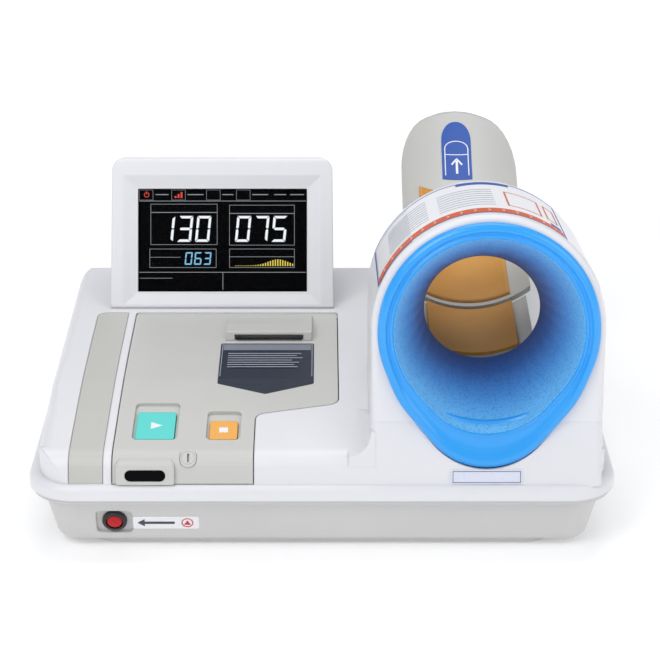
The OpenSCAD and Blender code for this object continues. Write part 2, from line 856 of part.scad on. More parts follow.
module printer_hood() {
    color(panel_grey) in_frame() difference() {
        intersection() {
            across_x(hood_x, hood_w) hood_side(0);
            translate([hood_x, 0, deck_z(hood_front) - 12]) rotate([90, 0, 0]) {
                translate([0, 12, -case_d]) round_block(hood_w, 24 + 2 * hood_h, 7, case_d);
            }
        }
        across_x(hood_x, mouth_w) union() {
            hood_side(hood_wall);
            translate([hood_front - 4, deck_z(hood_front) - 1]) square([22, hood_h - hood_wall + 0.4]);
        }
    }
    color(panel_grey) in_frame() for (i = [-4:4]) {
        across_x(hood_x + i * mouth_w / 9.6, 1.2) intersection() {
            hood_side(hood_wall - 0.2);
            translate([hood_front + 10, 0]) square([12, 200]);
        }
    }
}

notice_w = 82;
notice_front = 106;
notice_back = 199;
module notice_plate() {
    color(navy) in_frame() intersection() {
        across_x(0, case_w) deck_skin(-0.5, -0.1);
        translate([hood_x - 1, 0, 0]) linear_extrude(200) polygon(rounded([
            [-notice_w / 2, notice_back, 2], [-notice_w / 2, notice_front + 17, 2],
            [0, notice_front, 3], [notice_w / 2, notice_front + 17, 2], [notice_w / 2, notice_back, 2]
        ]));
    }
}

// ---- Printer ------------------------------------------------------------

tray_floor = rim_top_z - 8;
tray_t = 2;
tray_front = nose_y + wall + tray_t;
keeper_l = 4;
keeper_w = 25.5;
keeper_z = tray_floor + 7;
roll_y = 150;
roll_z = deck_z(roll_y) - lid_t - roll_r - 5.5;
spindle_r = 5.6;
roll_core_r = spindle_r + 0.4;
well_gap = 3;
platen_y = 216;
platen_z = deck_z(platen_y) - 14.5;
platen_shaft_r = 2;
cheek_t = 2;
cheek_x = paper_w / 2 + 5;
gear_r = 8;
pinion_r = 4;
gear_t = 3;
gear_x = cheek_x + cheek_t + 1;
pinion_z = platen_z - gear_r - pinion_r;
motor_r = 6.7;
motor_len = 17;
frame_front = platen_y - 9;
frame_back = hinge_y - 12;

module printer_tray() {
    color(tub_grey) in_frame() difference() {
        union() {
            difference() {
                intersection() {
                    translate([0, 0, tray_floor - tray_t]) linear_extrude(100) lid_plan(1 + tray_t);
                    across_x(0, case_w) offset(delta = -(wall + fit_gap)) polygon(deck_side(20));
                }
                translate([0, 0, tray_floor]) linear_extrude(100) intersection() {
                    lid_plan(1);
                    translate([-case_w / 2, tray_front]) square([case_w, case_d]);
                }
            }
            roll_well(tray_t);
        }
        roll_well(0);
        // low front wall, with a seat for the keeper in its top edge
        translate([-case_w / 2, 0, rim_top_z + 0.4]) cube([case_w, tray_front + keeper_l + 2, 100]);
        translate([lock_x - 18 - fit_gap, 0, keeper_z - fit_gap]) {
            cube([keeper_w + 2 * fit_gap, tray_front + 1, 100]);
        }
        // room for the ears and pins of the cover's hinge
        for (x = [lid_left, lid_right]) {
            translate([x - 10, hinge_y - 6, hinge_z - 7]) cube([20, 20, 30]);
        }
    }
    // saddles for the spindle
    color(tub_grey) in_frame() for (sx = [-1, 1]) {
        translate([printer_x + sx * (paper_w / 2 + 6.2), roll_y, 0]) difference() {
            translate([-1, -7, roll_z - roll_r + 2]) cube([2, 14, roll_r + 4]);
            translate([-3, 0, roll_z]) rotate([0, 90, 0]) cylinder(r = spindle_r - 2 + fit_gap, h = 6);
            translate([-3, fit_gap - spindle_r + 1.7, roll_z]) cube([6, 2 * (spindle_r - 2), 20]);
        }
    }
}

// Strip on the tray's front wall that the lock's cam turns under
module lock_keeper() {
    color(steel) in_frame() translate([lock_x - 18, nose_y + wall + fit_gap, keeper_z]) {
        cube([keeper_w, tray_front + keeper_l - nose_y - wall - fit_gap, rim_top_z + 0.4 - keeper_z]);
    }
}

// Well that the paper roll lies in, grown by skin
module roll_well(skin) {
    w = paper_w + 14 + 2 * skin;
    r = roll_r + well_gap + skin;
    intersection() {
        rod_x(printer_x - w / 2, printer_x + w / 2, roll_y, roll_z, r);
        translate([printer_x - w, 0, 0]) cube([2 * w, case_d, tray_floor + (skin > 0 ? 0 : tiny)]);
    }
}

module paper_roll() {
    color([0.95, 0.95, 0.95]) in_frame() translate([printer_x - paper_w / 2, roll_y, roll_z]) rotate([0, 90, 0]) {
        tube(roll_r, roll_core_r, paper_w);
    }
}

module paper_spindle() {
    color(black_plastic) in_frame() {
        rod_x(printer_x - paper_w / 2 - 2.5, printer_x + paper_w / 2 + 2.5, roll_y, roll_z, spindle_r);
        rod_x(printer_x - paper_w / 2 - 6.8, printer_x + paper_w / 2 + 6.8, roll_y, roll_z, spindle_r - 2);
    }
}

module printer_frame() {
    low = tray_floor + fit_gap;
    top = platen_z + 3;
    color(black_plastic) in_frame() difference() {
        union() {
            for (sx = [-1, 1]) {
                translate([printer_x + sx * (cheek_x + cheek_t / 2) - cheek_t / 2, frame_front, low]) {
                    cube([cheek_t, frame_back - frame_front, top - low]);
                }
            }
            translate([printer_x - cheek_x - cheek_t, frame_front, low]) {
                cube([2 * (cheek_x + cheek_t), frame_back - frame_front, 4]);
            }
            translate([printer_x - cheek_x - 1, platen_y + 9, low]) {
                cube([2 * cheek_x + 2, 3, platen_z - low - 4]);
            }
        }
        rod_x(printer_x - 60, printer_x + 60, platen_y, platen_z, platen_shaft_r + run_gap);
        translate([printer_x - 60, platen_y - platen_shaft_r - run_gap, platen_z]) cube([120, 2 * (platen_shaft_r + run_gap), 20]);
        rod_x(printer_x, printer_x + 60, platen_y, pinion_z, 3);
    }
}

module print_head() {
    color(steel) in_frame() translate([printer_x - paper_w / 2 - 2, platen_y + platen_r + fit_gap, platen_z - 4.6]) {
        cube([paper_w + 4, 2, 8.6]);
        translate([0, 2, 1]) cube([paper_w + 4, 1.4, 6]);
    }
}

module platen_roller() {
    color([0.15, 0.15, 0.16]) in_frame() {
        rod_x(printer_x - paper_w / 2 - 1, printer_x + paper_w / 2 + 1, platen_y, platen_z, platen_r);
        rod_x(printer_x - cheek_x - cheek_t - 1, printer_x + gear_x + gear_t, platen_y, platen_z, platen_shaft_r);
    }
}

// Spur gear about X; the outline's teeth follow the pitch radius r
module spur(x, y, z, r, teeth, bore, turn) {
    depth = 0.8;
    translate([x, y, z]) rotate([90, 0, 90]) rotate(turn) linear_extrude(gear_t) difference() {
        polygon([for (i = [0:teeth - 1]) for (k = [[-0.28, -1], [-0.13, 0.9], [0.13, 0.9], [0.28, -1]])
            let (a = 360 * (i + k.x) / teeth, d = r + k.y * depth) [d * cos(a), d * sin(a)]]);
        circle(bore);
    }
}

platen_teeth = 20;
pinion_teeth = 10;
module platen_gear() {
    color([0.9, 0.9, 0.86]) in_frame() {
        spur(printer_x + gear_x, platen_y, platen_z, gear_r, platen_teeth, platen_shaft_r + run_gap, 90);
    }
}

motor_end = printer_x + cheek_x - fit_gap;
module motor_pinion() {
    color(steel) in_frame() {
        spur(printer_x + gear_x, platen_y, pinion_z, pinion_r, pinion_teeth, tiny, 90 + 180 / pinion_teeth);
        rod_x(motor_end - 4, printer_x + gear_x + tiny, platen_y, pinion_z, 1);
    }
}

module printer_motor() {
    color(steel) in_frame() difference() {
        union() {
            rod_x(motor_end - motor_len, motor_end, platen_y, pinion_z, motor_r);
            translate([motor_end - 1.2, platen_y - 5, pinion_z - motor_r - 4]) cube([1.2, 10, motor_r + 4]);
        }
        rod_x(motor_end - 4.5, motor_end + 1, platen_y, pinion_z, 1 + run_gap);
    }
}

module tear_bar() {
    teeth = floor(paper_w / 2);
    color(steel) in_frame() translate([hood_x, hood_front - 0.2, deck_z(hood_front) + fit_gap]) {
        translate([-paper_w / 2, 0, 0]) cube([paper_w, 3.5, 0.6]);
        linear_extrude(0.6) for (i = [0:teeth - 1]) {
            translate([-paper_w / 2 + 2 * i + 1, 0]) polygon([[-1, 0.1], [0, -1.1], [1, 0.1]]);
        }
    }
}

// ---- Display head -------------------------------------------------------

head_x = (lid_left + lid_right) / 2 - 13.9;
head_y = lid_back + 8;
head_base = deck_z(head_y) + fit_gap;
head_top_t = 30;
head_deep = 91;
head_wall = 2.5;
front_deep = 14;
face_centre = 63.4;
recess_w = lcd_w + 26;
recess_h = lcd_h + 24;
recess_in = 3.6;
recess_deep = 4.5;
lip_w = 2;

// Puts things on the display's face: +Y up the face, +Z out of it
module on_face() {
    translate([head_x, head_y, head_base]) rotate([90 - face_tilt, 0, 0]) children();
}

module head_form(inset) {
    up = face_h * [sin(face_tilt), cos(face_tilt)];
    back = head_top_t * [cos(face_tilt), -sin(face_tilt)];
    start = [head_y, head_base];
    drop = inset > 0 ? 1 : 0;
    intersection() {
        across_x(head_x, head_w + 10) offset(delta = -inset) polygon(rounded([
            [start.x, start.y, 2],
            [(start + up).x, (start + up).y, 5],
            [(start + up + back).x, (start + up + back).y, 14],
            [start.x + head_deep, deck_z(start.x + head_deep) + fit_gap, 8]
        ]));
        on_face() translate([0, 0, -120]) linear_extrude(130) offset(delta = -inset) polygon(rounded([
            [-head_w / 2, -60, 0], [head_w / 2, -60, 0],
            [head_w / 2 - 2, face_h, 13], [2 - head_w / 2, face_h, 13]
        ]));
    }
}

module face_slab(z0, z1) {
    on_face() translate([-150, -60, z0]) cube([300, 260, z1 - z0]);
}

module display_front() {
    color(white_shell) in_frame() difference() {
        intersection() {
            head_form(0);
            face_slab(-front_deep, 5);
        }
        intersection() {
            head_form(head_wall);
            face_slab(-front_deep - 1, -recess_deep - lip_w);
        }
        on_face() translate([0, face_centre, -recess_deep]) {
            linear_extrude(height = recess_deep + tiny, slices = 1, scale = [recess_w / (lcd_w + 2 * lip_w), recess_h / (lcd_h + 2 * lip_w)]) {
                square([lcd_w + 2 * lip_w, lcd_h + 2 * lip_w], center = true);
            }
            translate([0, 0, -10]) linear_extrude(20) square([lcd_w, lcd_h], center = true);
        }
    }
}

module display_back() {
    color(white_shell) in_frame() difference() {
        intersection() {
            head_form(0);
            face_slab(-200, -front_deep - fit_gap);
        }
        intersection() {
            head_form(head_wall);
            face_slab(-200, -front_deep + 5);
        }
        // cable way into the case
        translate([head_x, head_y + 34, head_base - 10]) round_block(60, 16, 6, 30);
    }
}

module lcd_panel() {
    color(black_plastic) in_frame() on_face() translate([0, face_centre, -recess_deep - lip_w - 1.6 - 5.6]) {
        round_block(lcd_w + 10, lcd_h + 10, 1, 5);
    }
}

module cover_glass() {
    color([0.1, 0.1, 0.12, 0.5]) in_frame() on_face() translate([0, face_centre, -recess_deep - lip_w - 1.5]) {
        round_block(lcd_w + 8, lcd_h + 8, 2, 1.2);
    }
}

module display_board() {
    z = -recess_deep - lip_w - 1.6 - 5.6 - 0.3;
    color(board_green) in_frame() on_face() {
        translate([0, face_centre, z - 4]) round_block(120, 70, 2, board_t);
        for (sx = [-1, 1]) for (sy = [-1, 1]) {
            translate([sx * 54, face_centre + sy * 30, z - 4 + board_t]) cylinder(r = 2.4, h = 4 - board_t);
        }
        translate([-20, face_centre - 10, z - 7]) cube([26, 26, 3]);
        translate([20, face_centre + 8, z - 9]) cube([18, 12, 5]);
    }
}

// ---- Tower --------------------------------------------------------------

ring_low_r = 82.9;
ring_low_drop = 16;

// Pear-shaped outline of the ring, drawn in by inset
module ring_outline(inset) {
    hull() {
        circle(ring_r - inset, $fn = 96);
        translate([0, ring_low_drop]) circle(ring_low_r - inset, $fn = 96);
        translate([0, chin_drop]) circle(chin_r - inset, $fn = 64);
    }
}

// Outline of the ring's inner edge
module ring_mouth(grow) {
    hull() {
        circle(mouth_r + grow, $fn = 96);
        translate([0, 24]) circle(mouth_r - 16 + grow, $fn = 64);
    }
}

module ring_slice(z, inset) {
    translate([0, 0, z]) linear_extrude(tiny) ring_outline(inset);
}

module inlet_ring() {
    color(ring_blue) in_frame() in_tunnel() {
        difference() {
            union() {
                hull() {
                    ring_slice(-fit_gap, 1.2);
                    ring_slice(-2.4, 0);
                    ring_slice(-ring_proud + 3, 1.2);
                    ring_slice(-ring_proud + 0.8, 3.6);
                    ring_slice(-ring_proud, 7);
                }
                translate([0, 0, -1]) cylinder(r = mouth_r + 4.6, h = 13, $fn = 128);
            }
            hull() {
                translate([0, 0, -ring_proud - tiny]) linear_extrude(tiny) ring_mouth(3);
                translate([0, 0, -ring_proud + 3]) linear_extrude(tiny) ring_mouth(0.5);
            }
            hull() {
                translate([0, 0, -ring_proud + 3]) linear_extrude(tiny) ring_mouth(0.5);
                translate([0, 0, lining_front]) linear_extrude(tiny) circle(mouth_r + 0.5, $fn = 96);
            }
            translate([0, 0, lining_front]) cylinder(r = mouth_r + 0.5, h = 12, $fn = 96);
        }
    }
}

lining_front = 2;
lining_back = throat_t + 9;
module cuff_lining() {
    color(lining_blue) in_frame() in_tunnel() rotate_extrude($fn = 96) polygon([
        [mouth_r, lining_front],
        [mouth_r - 1.5, 13],
        [throat_r + lining_t, throat_t],
        [throat_r + lining_t, lining_back],
        [throat_r + 1, lining_back],
        [throat_r, throat_t],
        [mouth_r - 1.5 - lining_t, 13],
        [mouth_r - lining_t, lining_front]
    ]);
}

drum_r = arch_r - wall - 2.5;
drum_t = 3;
module cuff_drum() {
    color([0.6, 0.6, 0.6]) in_frame() in_tunnel() difference() {
        translate([0, 0, wall + fit_gap]) tube(drum_r, drum_r - drum_t, tower_len - 2 * wall - 3 * fit_gap);
        translate([0, drum_r - drum_t - 1, nipple_t]) rotate([-90, 0, 0]) cylinder(r = 1, h = 20);
    }
    color([0.6, 0.6, 0.6]) in_frame() in_tunnel() difference() {
        translate([0, drum_r - 1, nipple_t]) rotate([-90, 0, 0]) cylinder(r = hose_bore - run_gap, h = 7);
        translate([0, drum_r - 3, nipple_t]) rotate([-90, 0, 0]) cylinder(r = 1, h = 20);
    }
}

module cuff_bladder() {
    outer = drum_r - drum_t - 0.4;
    color([0.25, 0.25, 0.27]) in_frame() in_tunnel() rotate_extrude($fn = 96) polygon([
        [outer, 16],
        [outer, lining_back],
        [throat_r + lining_t + 0.4, lining_back],
        [throat_r + lining_t + 0.4, throat_t + 0.6],
        [mouth_r - 0.6, 16]
    ]);
}

exit_r = 63;
module tower_rear_cover() {
    shell_r = arch_r - wall - fit_gap;
    color(white_shell) in_frame() difference() {
        in_tunnel() translate([0, 0, tower_len - wall]) difference() {
            linear_extrude(wall - fit_gap) union() {
                circle(shell_r);
                translate([-shell_r, 0]) square([2 * shell_r, leg_drop + 10]);
            }
            translate([0, 0, -1]) cylinder(r = exit_r, h = 10);
        }
        across_x(0, case_w + 10) union() {
            offset(delta = fit_gap) polygon(deck_side(rim_top_z - 20));
            translate([0, -100]) square([case_d, rim_top_z + 100]);
        }
    }
}

label_left = 70;
label_right = 41;
module arch_label() {
    color([0.9, 0.9, 0.86]) in_frame() in_tunnel() rotate([0, 0, 180]) rotate([0, 0, 90 - label_right]) {
        translate([0, 0, 8]) rotate_extrude(angle = label_left + label_right) {
            translate([arch_r + 0.05, 0]) square([0.45, tower_len - 22]);
        }
    }
}

// ---- Armrest ------------------------------------------------------------

rest_x = tower_x - 4.6;
trough_start = [116, mouth_z - 59.8];
trough_slope = 7;
trough_len = 76;
pad_t = 3;
support_w = 62;
support_front = 202;
support_back = 372;

// Section of a hollow plate: its upper face passes through the origin
module hollow_band(w, r, t) {
    intersection() {
        difference() {
            translate([0, r]) circle(r + t);
            translate([0, r]) circle(r);
        }
        translate([-w / 2, -t - 1]) square([w, r]);
    }
}

// Runs a section along the forearm plate's path, between two angles of its bend
module along_rest(from, to) {
    translate([rest_x, rest_centre.x, rest_centre.y]) rotate([90, 0, 90]) rotate(rest_slope - 90 + from) {
        rotate_extrude(angle = to - from, $fn = 180) translate([rest_bend_r, 0]) rotate(90) children();
    }
}

// Front view that rounds the end of the plate
rest_crown = 10;
rest_corner_r = 30;
module rest_outline() {
    translate([rest_x, case_d + 100, 0]) rotate([90, 0, 0]) linear_extrude(case_d + 100) polygon(rounded([
        [-rest_w / 2, 100, 0], [rest_w / 2, 100, 0],
        [rest_w / 2, rest_end.y - rest_crown, rest_corner_r],
        [0, rest_end.y - 0.5, 3 * rest_corner_r],
        [-rest_w / 2, rest_end.y - rest_crown, rest_corner_r]
    ]));
}

module forearm_plate() {
    color(rest_grey) in_frame() intersection() {
        along_rest(0, rest_turn) hollow_band(rest_w, hollow_r, rest_t);
        rest_outline();
    }
}

module forearm_pad() {
    color(amber) in_frame() along_rest(1, rest_turn * 0.64) translate([0, pad_t + fit_gap]) {
        hollow_band(pad_w, hollow_r - pad_t, pad_t);
    }
}

module along_trough(skip) {
    translate([rest_x, trough_start.x, trough_start.y]) rotate([trough_slope, 0, 0]) rotate([90, 0, 0]) {
        translate([0, 0, -trough_len + skip]) linear_extrude(trough_len - 2 * skip) children();
    }
}

module elbow_trough() {
    color(rest_grey) in_frame() {
        along_trough(0) hollow_band(rest_w - 8, hollow_r, rest_t);
        // two ribs that stand in the cuff drum
        difference() {
            in_tunnel() intersection() {
                translate([0, 0, throat_t + 18]) cylinder(r = drum_r - drum_t - fit_gap, h = 38);
                for (sx = [-1, 1]) translate([rest_x - tower_x + sx * 24 - 1.5, 36, 0]) cube([3, drum_r, tower_len]);
            }
            along_trough(-30) translate([0, hollow_r]) circle(hollow_r + 1);
        }
    }
}

module elbow_pad() {
    color(amber) in_frame() along_trough(1) translate([0, pad_t + fit_gap]) hollow_band(pad_w, hollow_r - pad_t, pad_t);
}

module direction_label() {
    color(label_blue) in_frame() intersection() {
        along_rest(rest_turn * 0.7, rest_turn - 2) translate([0, 0.6]) hollow_band(28, hollow_r - 0.6, 0.5);
        translate([rest_x, case_d + 100, 0]) rotate([90, 0, 0]) linear_extrude(case_d + 100) polygon(rounded([
            [-14, 192, 2], [14, 192, 2], [14, rest_end.y - 9, 13], [-14, rest_end.y - 9, 13]
        ]));
    }
}

// Side view of the support; wall_in hollows it from below
module support_side(wall_in) {
    offset(delta = -wall_in) polygon([
        [support_front, deck_z(support_front) + fit_gap],
        [support_front, rest_start.y + 6],
        [rest_at(rest_turn / 2).x, rest_at(rest_turn / 2).y + 8],
        [support_back + 14, rest_at(rest_turn * 0.75).y + 14],
        [support_back, deck_z(support_back) + fit_gap]
    ]);
}

module armrest_support() {
    color(rest_grey) in_frame() difference() {
        across_x(rest_x, support_w) support_side(0);
        across_x(rest_x, support_w - 2 * wall) support_side(wall);
        translate([rest_x - support_w / 2 + wall, support_front + 2 * wall, deck_z(support_front) - 1]) {
            cube([support_w - 2 * wall, support_back - support_front - 4 * wall, 12]);
        }
        along_rest(0, rest_turn) intersection() {
            translate([0, hollow_r]) circle(hollow_r + rest_t + fit_gap);
            translate([-rest_w, -rest_t - 1]) square([2 * rest_w, 60]);
        }
    }
}

// ---- Emergency stop -----------------------------------------------------

bezel_r = 10.1;
barrel_fit_r = panic_r + 2.1;
module emergency_bezel() {
    color(black_plastic) in_frame() on_tub_front(panic_x, panic_z) translate([0, 0, -panic_pocket_depth + fit_gap]) {
        difference() {
            union() {
                rotate_extrude() polygon(rounded([
                    [0, 0, 0], [bezel_r, 0, 0], [bezel_r, 3, 1], [panic_r + 1.4, 3.8, 0.8], [0, 3.8, 0]
                ]));
                translate([0, 0, -13]) cylinder(r = barrel_fit_r, h = 14);
            }
            translate([0, 0, -14]) cylinder(r = panic_r + fit_gap, h = 20);
        }
        // nut behind the case wall
        translate([0, 0, -2 * wall - 4.4]) difference() {
            cylinder(r = bezel_r + 1.4, h = 3, $fn = 6);
            translate([0, 0, -1]) cylinder(r = barrel_fit_r - 0.5, h = 5);
        }
    }
}

module emergency_button() {
    color(signal_red) in_frame() on_tub_front(panic_x, panic_z) {
        translate([0, 0, -panic_pocket_depth - 8]) rotate_extrude() polygon(rounded([
            [0, 0, 0], [panic_r, 0, 0], [panic_r, 11.4, 1.6], [0, 12.8, 0]
        ]));
        translate([0, 0, -panic_pocket_depth - 10]) cylinder(r = 2, h = 3);
    }
}

module emergency_switch() {
    color(black_plastic) in_frame() on_tub_front(panic_x, panic_z) {
        translate([0, 0, -panic_pocket_depth - 30]) {
            round_block(17, 15, 2, 30 - 13 - fit_gap);
            for (sx = [-1, 1]) translate([sx * 5, 0, -5]) cube([0.8, 4, 12], center = true);
        }
    }
}

sticker_w = 54;
sticker_h = 13.4;
module front_sticker() {
    color([0.95, 0.95, 0.96]) in_frame() on_tub_front(panic_x + 42.2, panic_z - 0.6) {
        translate([0, 0, 0.05]) round_block(sticker_w, sticker_h, 2, 0.4);
    }
}

// ---- Power and air ------------------------------------------------------

back_face = back_panel_y + wall;
module mains_inlet() {
    color(black_plastic) in_frame() translate([inlet_x, back_face, inlet_z]) difference() {
        union() {
            rotate([-90, 0, 0]) translate([0, 0, fit_gap]) linear_extrude(2.4) {
                round_rect(inlet_flange_w, inlet_flange_h, 5);
            }
            translate([0, -11, 0]) cube([inlet_w - 0.6, 24, inlet_h - 0.6], center = true);
        }
        translate([0, -6, 0]) cube([inlet_w - 4, 19, inlet_h - 5], center = true);
        for (sx = [-1, 1]) translate([sx * 20, -20, 0]) rotate([-90, 0, 0]) cylinder(r = 1.7, h = 40);
    }
    // contact pins
    color(steel) in_frame() for (i = [-1:1]) {
        translate([inlet_x + 7 * i, back_face - 10.5, inlet_z + (i == 0 ? 2.4 : -1.6)]) cube([2, 12, 4.4], center = true);
    }
}

rocker_axis_y = back_face - 1;
rocker_tilt = 7;
module rocker_frame() {
    color(black_plastic) in_frame() translate([rocker_x, back_face, inlet_z]) difference() {
        union() {
            rotate([-90, 0, 0]) translate([0, 0, fit_gap]) linear_extrude(1.8) {
                round_rect(rocker_w + 5, rocker_h + 4, 2);
            }
            translate([0, -9, 0]) cube([rocker_w - 0.6, 20, rocker_h - 0.6], center = true);
        }
        translate([0, -4, 0]) cube([rocker_w - 5, 16, rocker_h - 4], center = true);
        rod_x(-rocker_w / 2 + 1, rocker_w / 2 - 1, rocker_axis_y - back_face, 0, 1.2 + run_gap);
    }
}

module power_rocker() {
    half = rocker_h / 2 - 2.8;
    color(black_plastic) in_frame() {
        across_x(rocker_x, rocker_w - 6) translate([rocker_axis_y, inlet_z]) rotate(-rocker_tilt) polygon([
            [-5, -3], [2, -half], [4.2, -half], [3, 0], [4.2, half], [2, half], [-5, 3]
        ]);
        rod_x(rocker_x - rocker_w / 2 + 1.4, rocker_x + rocker_w / 2 - 1.4, rocker_axis_y, inlet_z, 1.2);
    }
}

supply_x = -deck_half_w + 76;
supply_y = case_d - 116;
module power_supply() {
    color(steel) in_frame() translate([supply_x, supply_y, floor_z + fit_gap]) {
        round_block(110, 64, 2, 2);
        translate([0, 0, 2]) round_block(104, 60, 1.5, 30);
        for (i = [0:7]) translate([-45 + 12.5 * i, 0, 31]) round_block(4, 50, 1.5, 3);
    }
}

main_board_x = tower_x;
module main_board() {
    z = floor_z + 6;
    color(board_green) in_frame() translate([main_board_x - 20, 120, 0]) {
        translate([0, 0, z]) round_block(140, 110, 3, board_t);
        for (sx = [-1, 1]) for (sy = [-1, 1]) {
            translate([sx * 64, sy * 49, floor_z + fit_gap]) cylinder(r = 3, h = 6 - fit_gap);
        }
        translate([-30, 10, z + board_t]) round_block(26, 26, 0.6, 2);
        translate([24, -20, z + board_t]) round_block(16, 22, 0.6, 2.4);
        for (i = [0:4]) translate([-50 + 14 * i, -44, z + board_t]) round_block(10, 7, 0.5, 8);
        for (i = [0:2]) translate([50, 8 + 14 * i, z + board_t]) cylinder(r = 5, h = 14);
    }
}

pump_x = tower_x - 57;
pump_y = 232;
pump_r = 17;
pump_z = floor_z + fit_gap + pump_r + 3;
pump_head = 42;
hose_r = 3;
hose_bore = 1.8;
hose_x = pump_x + pump_head + 15;
hose_low = pump_z + pump_r + 10;
nipple_t = 50;
nipple_len = 6;
nipple_y = mouth_y + nipple_t * cos(tunnel_drop) - (drum_r + nipple_len) * sin(tunnel_drop);
nipple_z = mouth_z - nipple_t * sin(tunnel_drop) - (drum_r + nipple_len) * cos(tunnel_drop);
// bends no wider than the height between the pump and the drum's nipple allows
hose_bend = min(14, (nipple_z - hose_low - 2) / 2);
valve_y = pump_y + pump_r + 17;

module air_pump() {
    color([0.35, 0.35, 0.37]) in_frame() translate([pump_x, pump_y, pump_z]) difference() {
        union() {
            rotate([0, 90, 0]) {
                cylinder(r = pump_r - 3, h = pump_head);
                translate([0, 0, pump_head - tiny]) cylinder(r = pump_r, h = 30);
            }
            for (x = [12, pump_head + 15]) {
                translate([x, 0, -pump_r - 3]) linear_extrude(8) round_rect(16, 2 * pump_r, 2);
            }
            translate([pump_head + 15, 0, pump_r - 1]) cylinder(r = hose_bore - run_gap, h = 8);
        }
        translate([pump_head + 15, 0, pump_r - 3]) cylinder(r = 1, h = 20);
    }
}

module exhaust_valve() {
    color([0.85, 0.85, 0.82]) in_frame() translate([hose_x, valve_y, floor_z + fit_gap]) {
        round_block(26, 20, 2, 18);
        translate([0, 0, 18 - tiny]) cylinder(r = 4, h = 6);
        translate([0, -9, 12]) rotate([90, 0, 0]) cylinder(r = hose_bore, h = 7.6);
    }
}

// Tube that fills the arc from angle a0, turning by turn, in the plane of depth and height
module hose_arc(y, z, a0, turn) {
    translate([0, y, z]) rotate([90, 0, 90]) rotate(a0) rotate_extrude(angle = turn) {
        translate([hose_bend, 0]) circle(hose_r);
    }
}

module air_hose() {
    run = pump_y - nipple_y - 2 * hose_bend;
    hose_lap = 1;
    straight_r = hose_r - 0.1;
    color([0.2, 0.2, 0.22]) in_frame() translate([hose_x, 0, 0]) difference() {
        union() {
            translate([0, pump_y, pump_z + pump_r + 0.5]) {
                cylinder(r = straight_r, h = hose_low - pump_z - pump_r - 0.5 + hose_lap);
            }
            hose_arc(pump_y - hose_bend, hose_low, 0, 90);
            translate([0, pump_y - hose_bend + hose_lap, hose_low + hose_bend]) rotate([90, 0, 0]) {
                cylinder(r = straight_r, h = run + 2 * hose_lap);
            }
            hose_arc(nipple_y + hose_bend, hose_low + 2 * hose_bend, 180, 90);
            translate([0, nipple_y, hose_low + 2 * hose_bend - hose_lap]) {
                cylinder(r = straight_r, h = nipple_z - hose_low - 2 * hose_bend - fit_gap + hose_lap);
            }
        }
        translate([0, pump_y, pump_z]) cylinder(r = hose_bore, h = pump_r + 8);
    }
}

// ---- Dispatch -----------------------------------------------------------

lower_case();
rubber_feet();
case_screws();
upper_case();
strip_inlay();
badge_plate();
cover_panel();
cover_hinge_pins();
lock_escutcheon();
lock_barrel();
lock_cam();
lock_keeper();
start_key();
stop_key();
key_board();
key_switches();
sensor_window();
printer_hood();
notice_plate();
printer_tray();
printer_frame();
print_head();
platen_roller();
platen_gear();
printer_motor();
motor_pinion();
paper_roll();
paper_spindle();
tear_bar();
display_front();
display_back();
lcd_panel();
cover_glass();
display_board();
inlet_ring();
cuff_lining();
cuff_bladder();
cuff_drum();
tower_rear_cover();
arch_label();
elbow_trough();
elbow_pad();
forearm_plate();
forearm_pad();
armrest_support();
direction_label();
emergency_button();
emergency_bezel();
emergency_switch();
front_sticker();
mains_inlet();
power_rocker();
rocker_frame();
power_supply();
main_board();
air_pump();
exhaust_valve();
air_hose();
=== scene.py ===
import json
import math

import bmesh
import bpy
from mathutils import Matrix, Vector


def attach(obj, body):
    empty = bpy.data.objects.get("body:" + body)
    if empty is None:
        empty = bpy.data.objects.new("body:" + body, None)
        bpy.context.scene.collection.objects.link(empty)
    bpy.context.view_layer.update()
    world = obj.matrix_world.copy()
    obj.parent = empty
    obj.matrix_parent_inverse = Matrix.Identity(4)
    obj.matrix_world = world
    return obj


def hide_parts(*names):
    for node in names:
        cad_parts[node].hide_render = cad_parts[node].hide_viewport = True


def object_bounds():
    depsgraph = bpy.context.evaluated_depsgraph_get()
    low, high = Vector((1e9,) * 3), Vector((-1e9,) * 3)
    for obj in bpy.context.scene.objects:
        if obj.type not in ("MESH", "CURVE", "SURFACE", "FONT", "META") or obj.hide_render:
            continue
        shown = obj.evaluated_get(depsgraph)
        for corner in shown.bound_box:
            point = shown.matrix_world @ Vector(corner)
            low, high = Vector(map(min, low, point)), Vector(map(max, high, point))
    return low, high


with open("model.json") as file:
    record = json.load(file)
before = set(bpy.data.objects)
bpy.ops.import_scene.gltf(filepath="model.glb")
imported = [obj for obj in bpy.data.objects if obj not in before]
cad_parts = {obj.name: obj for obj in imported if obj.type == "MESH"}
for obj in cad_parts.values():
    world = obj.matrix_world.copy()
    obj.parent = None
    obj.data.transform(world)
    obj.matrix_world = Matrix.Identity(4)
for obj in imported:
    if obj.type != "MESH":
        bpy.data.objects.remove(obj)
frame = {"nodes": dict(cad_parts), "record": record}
cad_low, cad_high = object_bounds()
nodes = frame["nodes"]

# ---------------------------------------------------------------- measures
# Lengths are in millimetres and angles in degrees, with depth s measured back
# from the front edge of the rim. The placers turn them into the frame's metres.
HALF_DEPTH = -cad_low.y * 1000

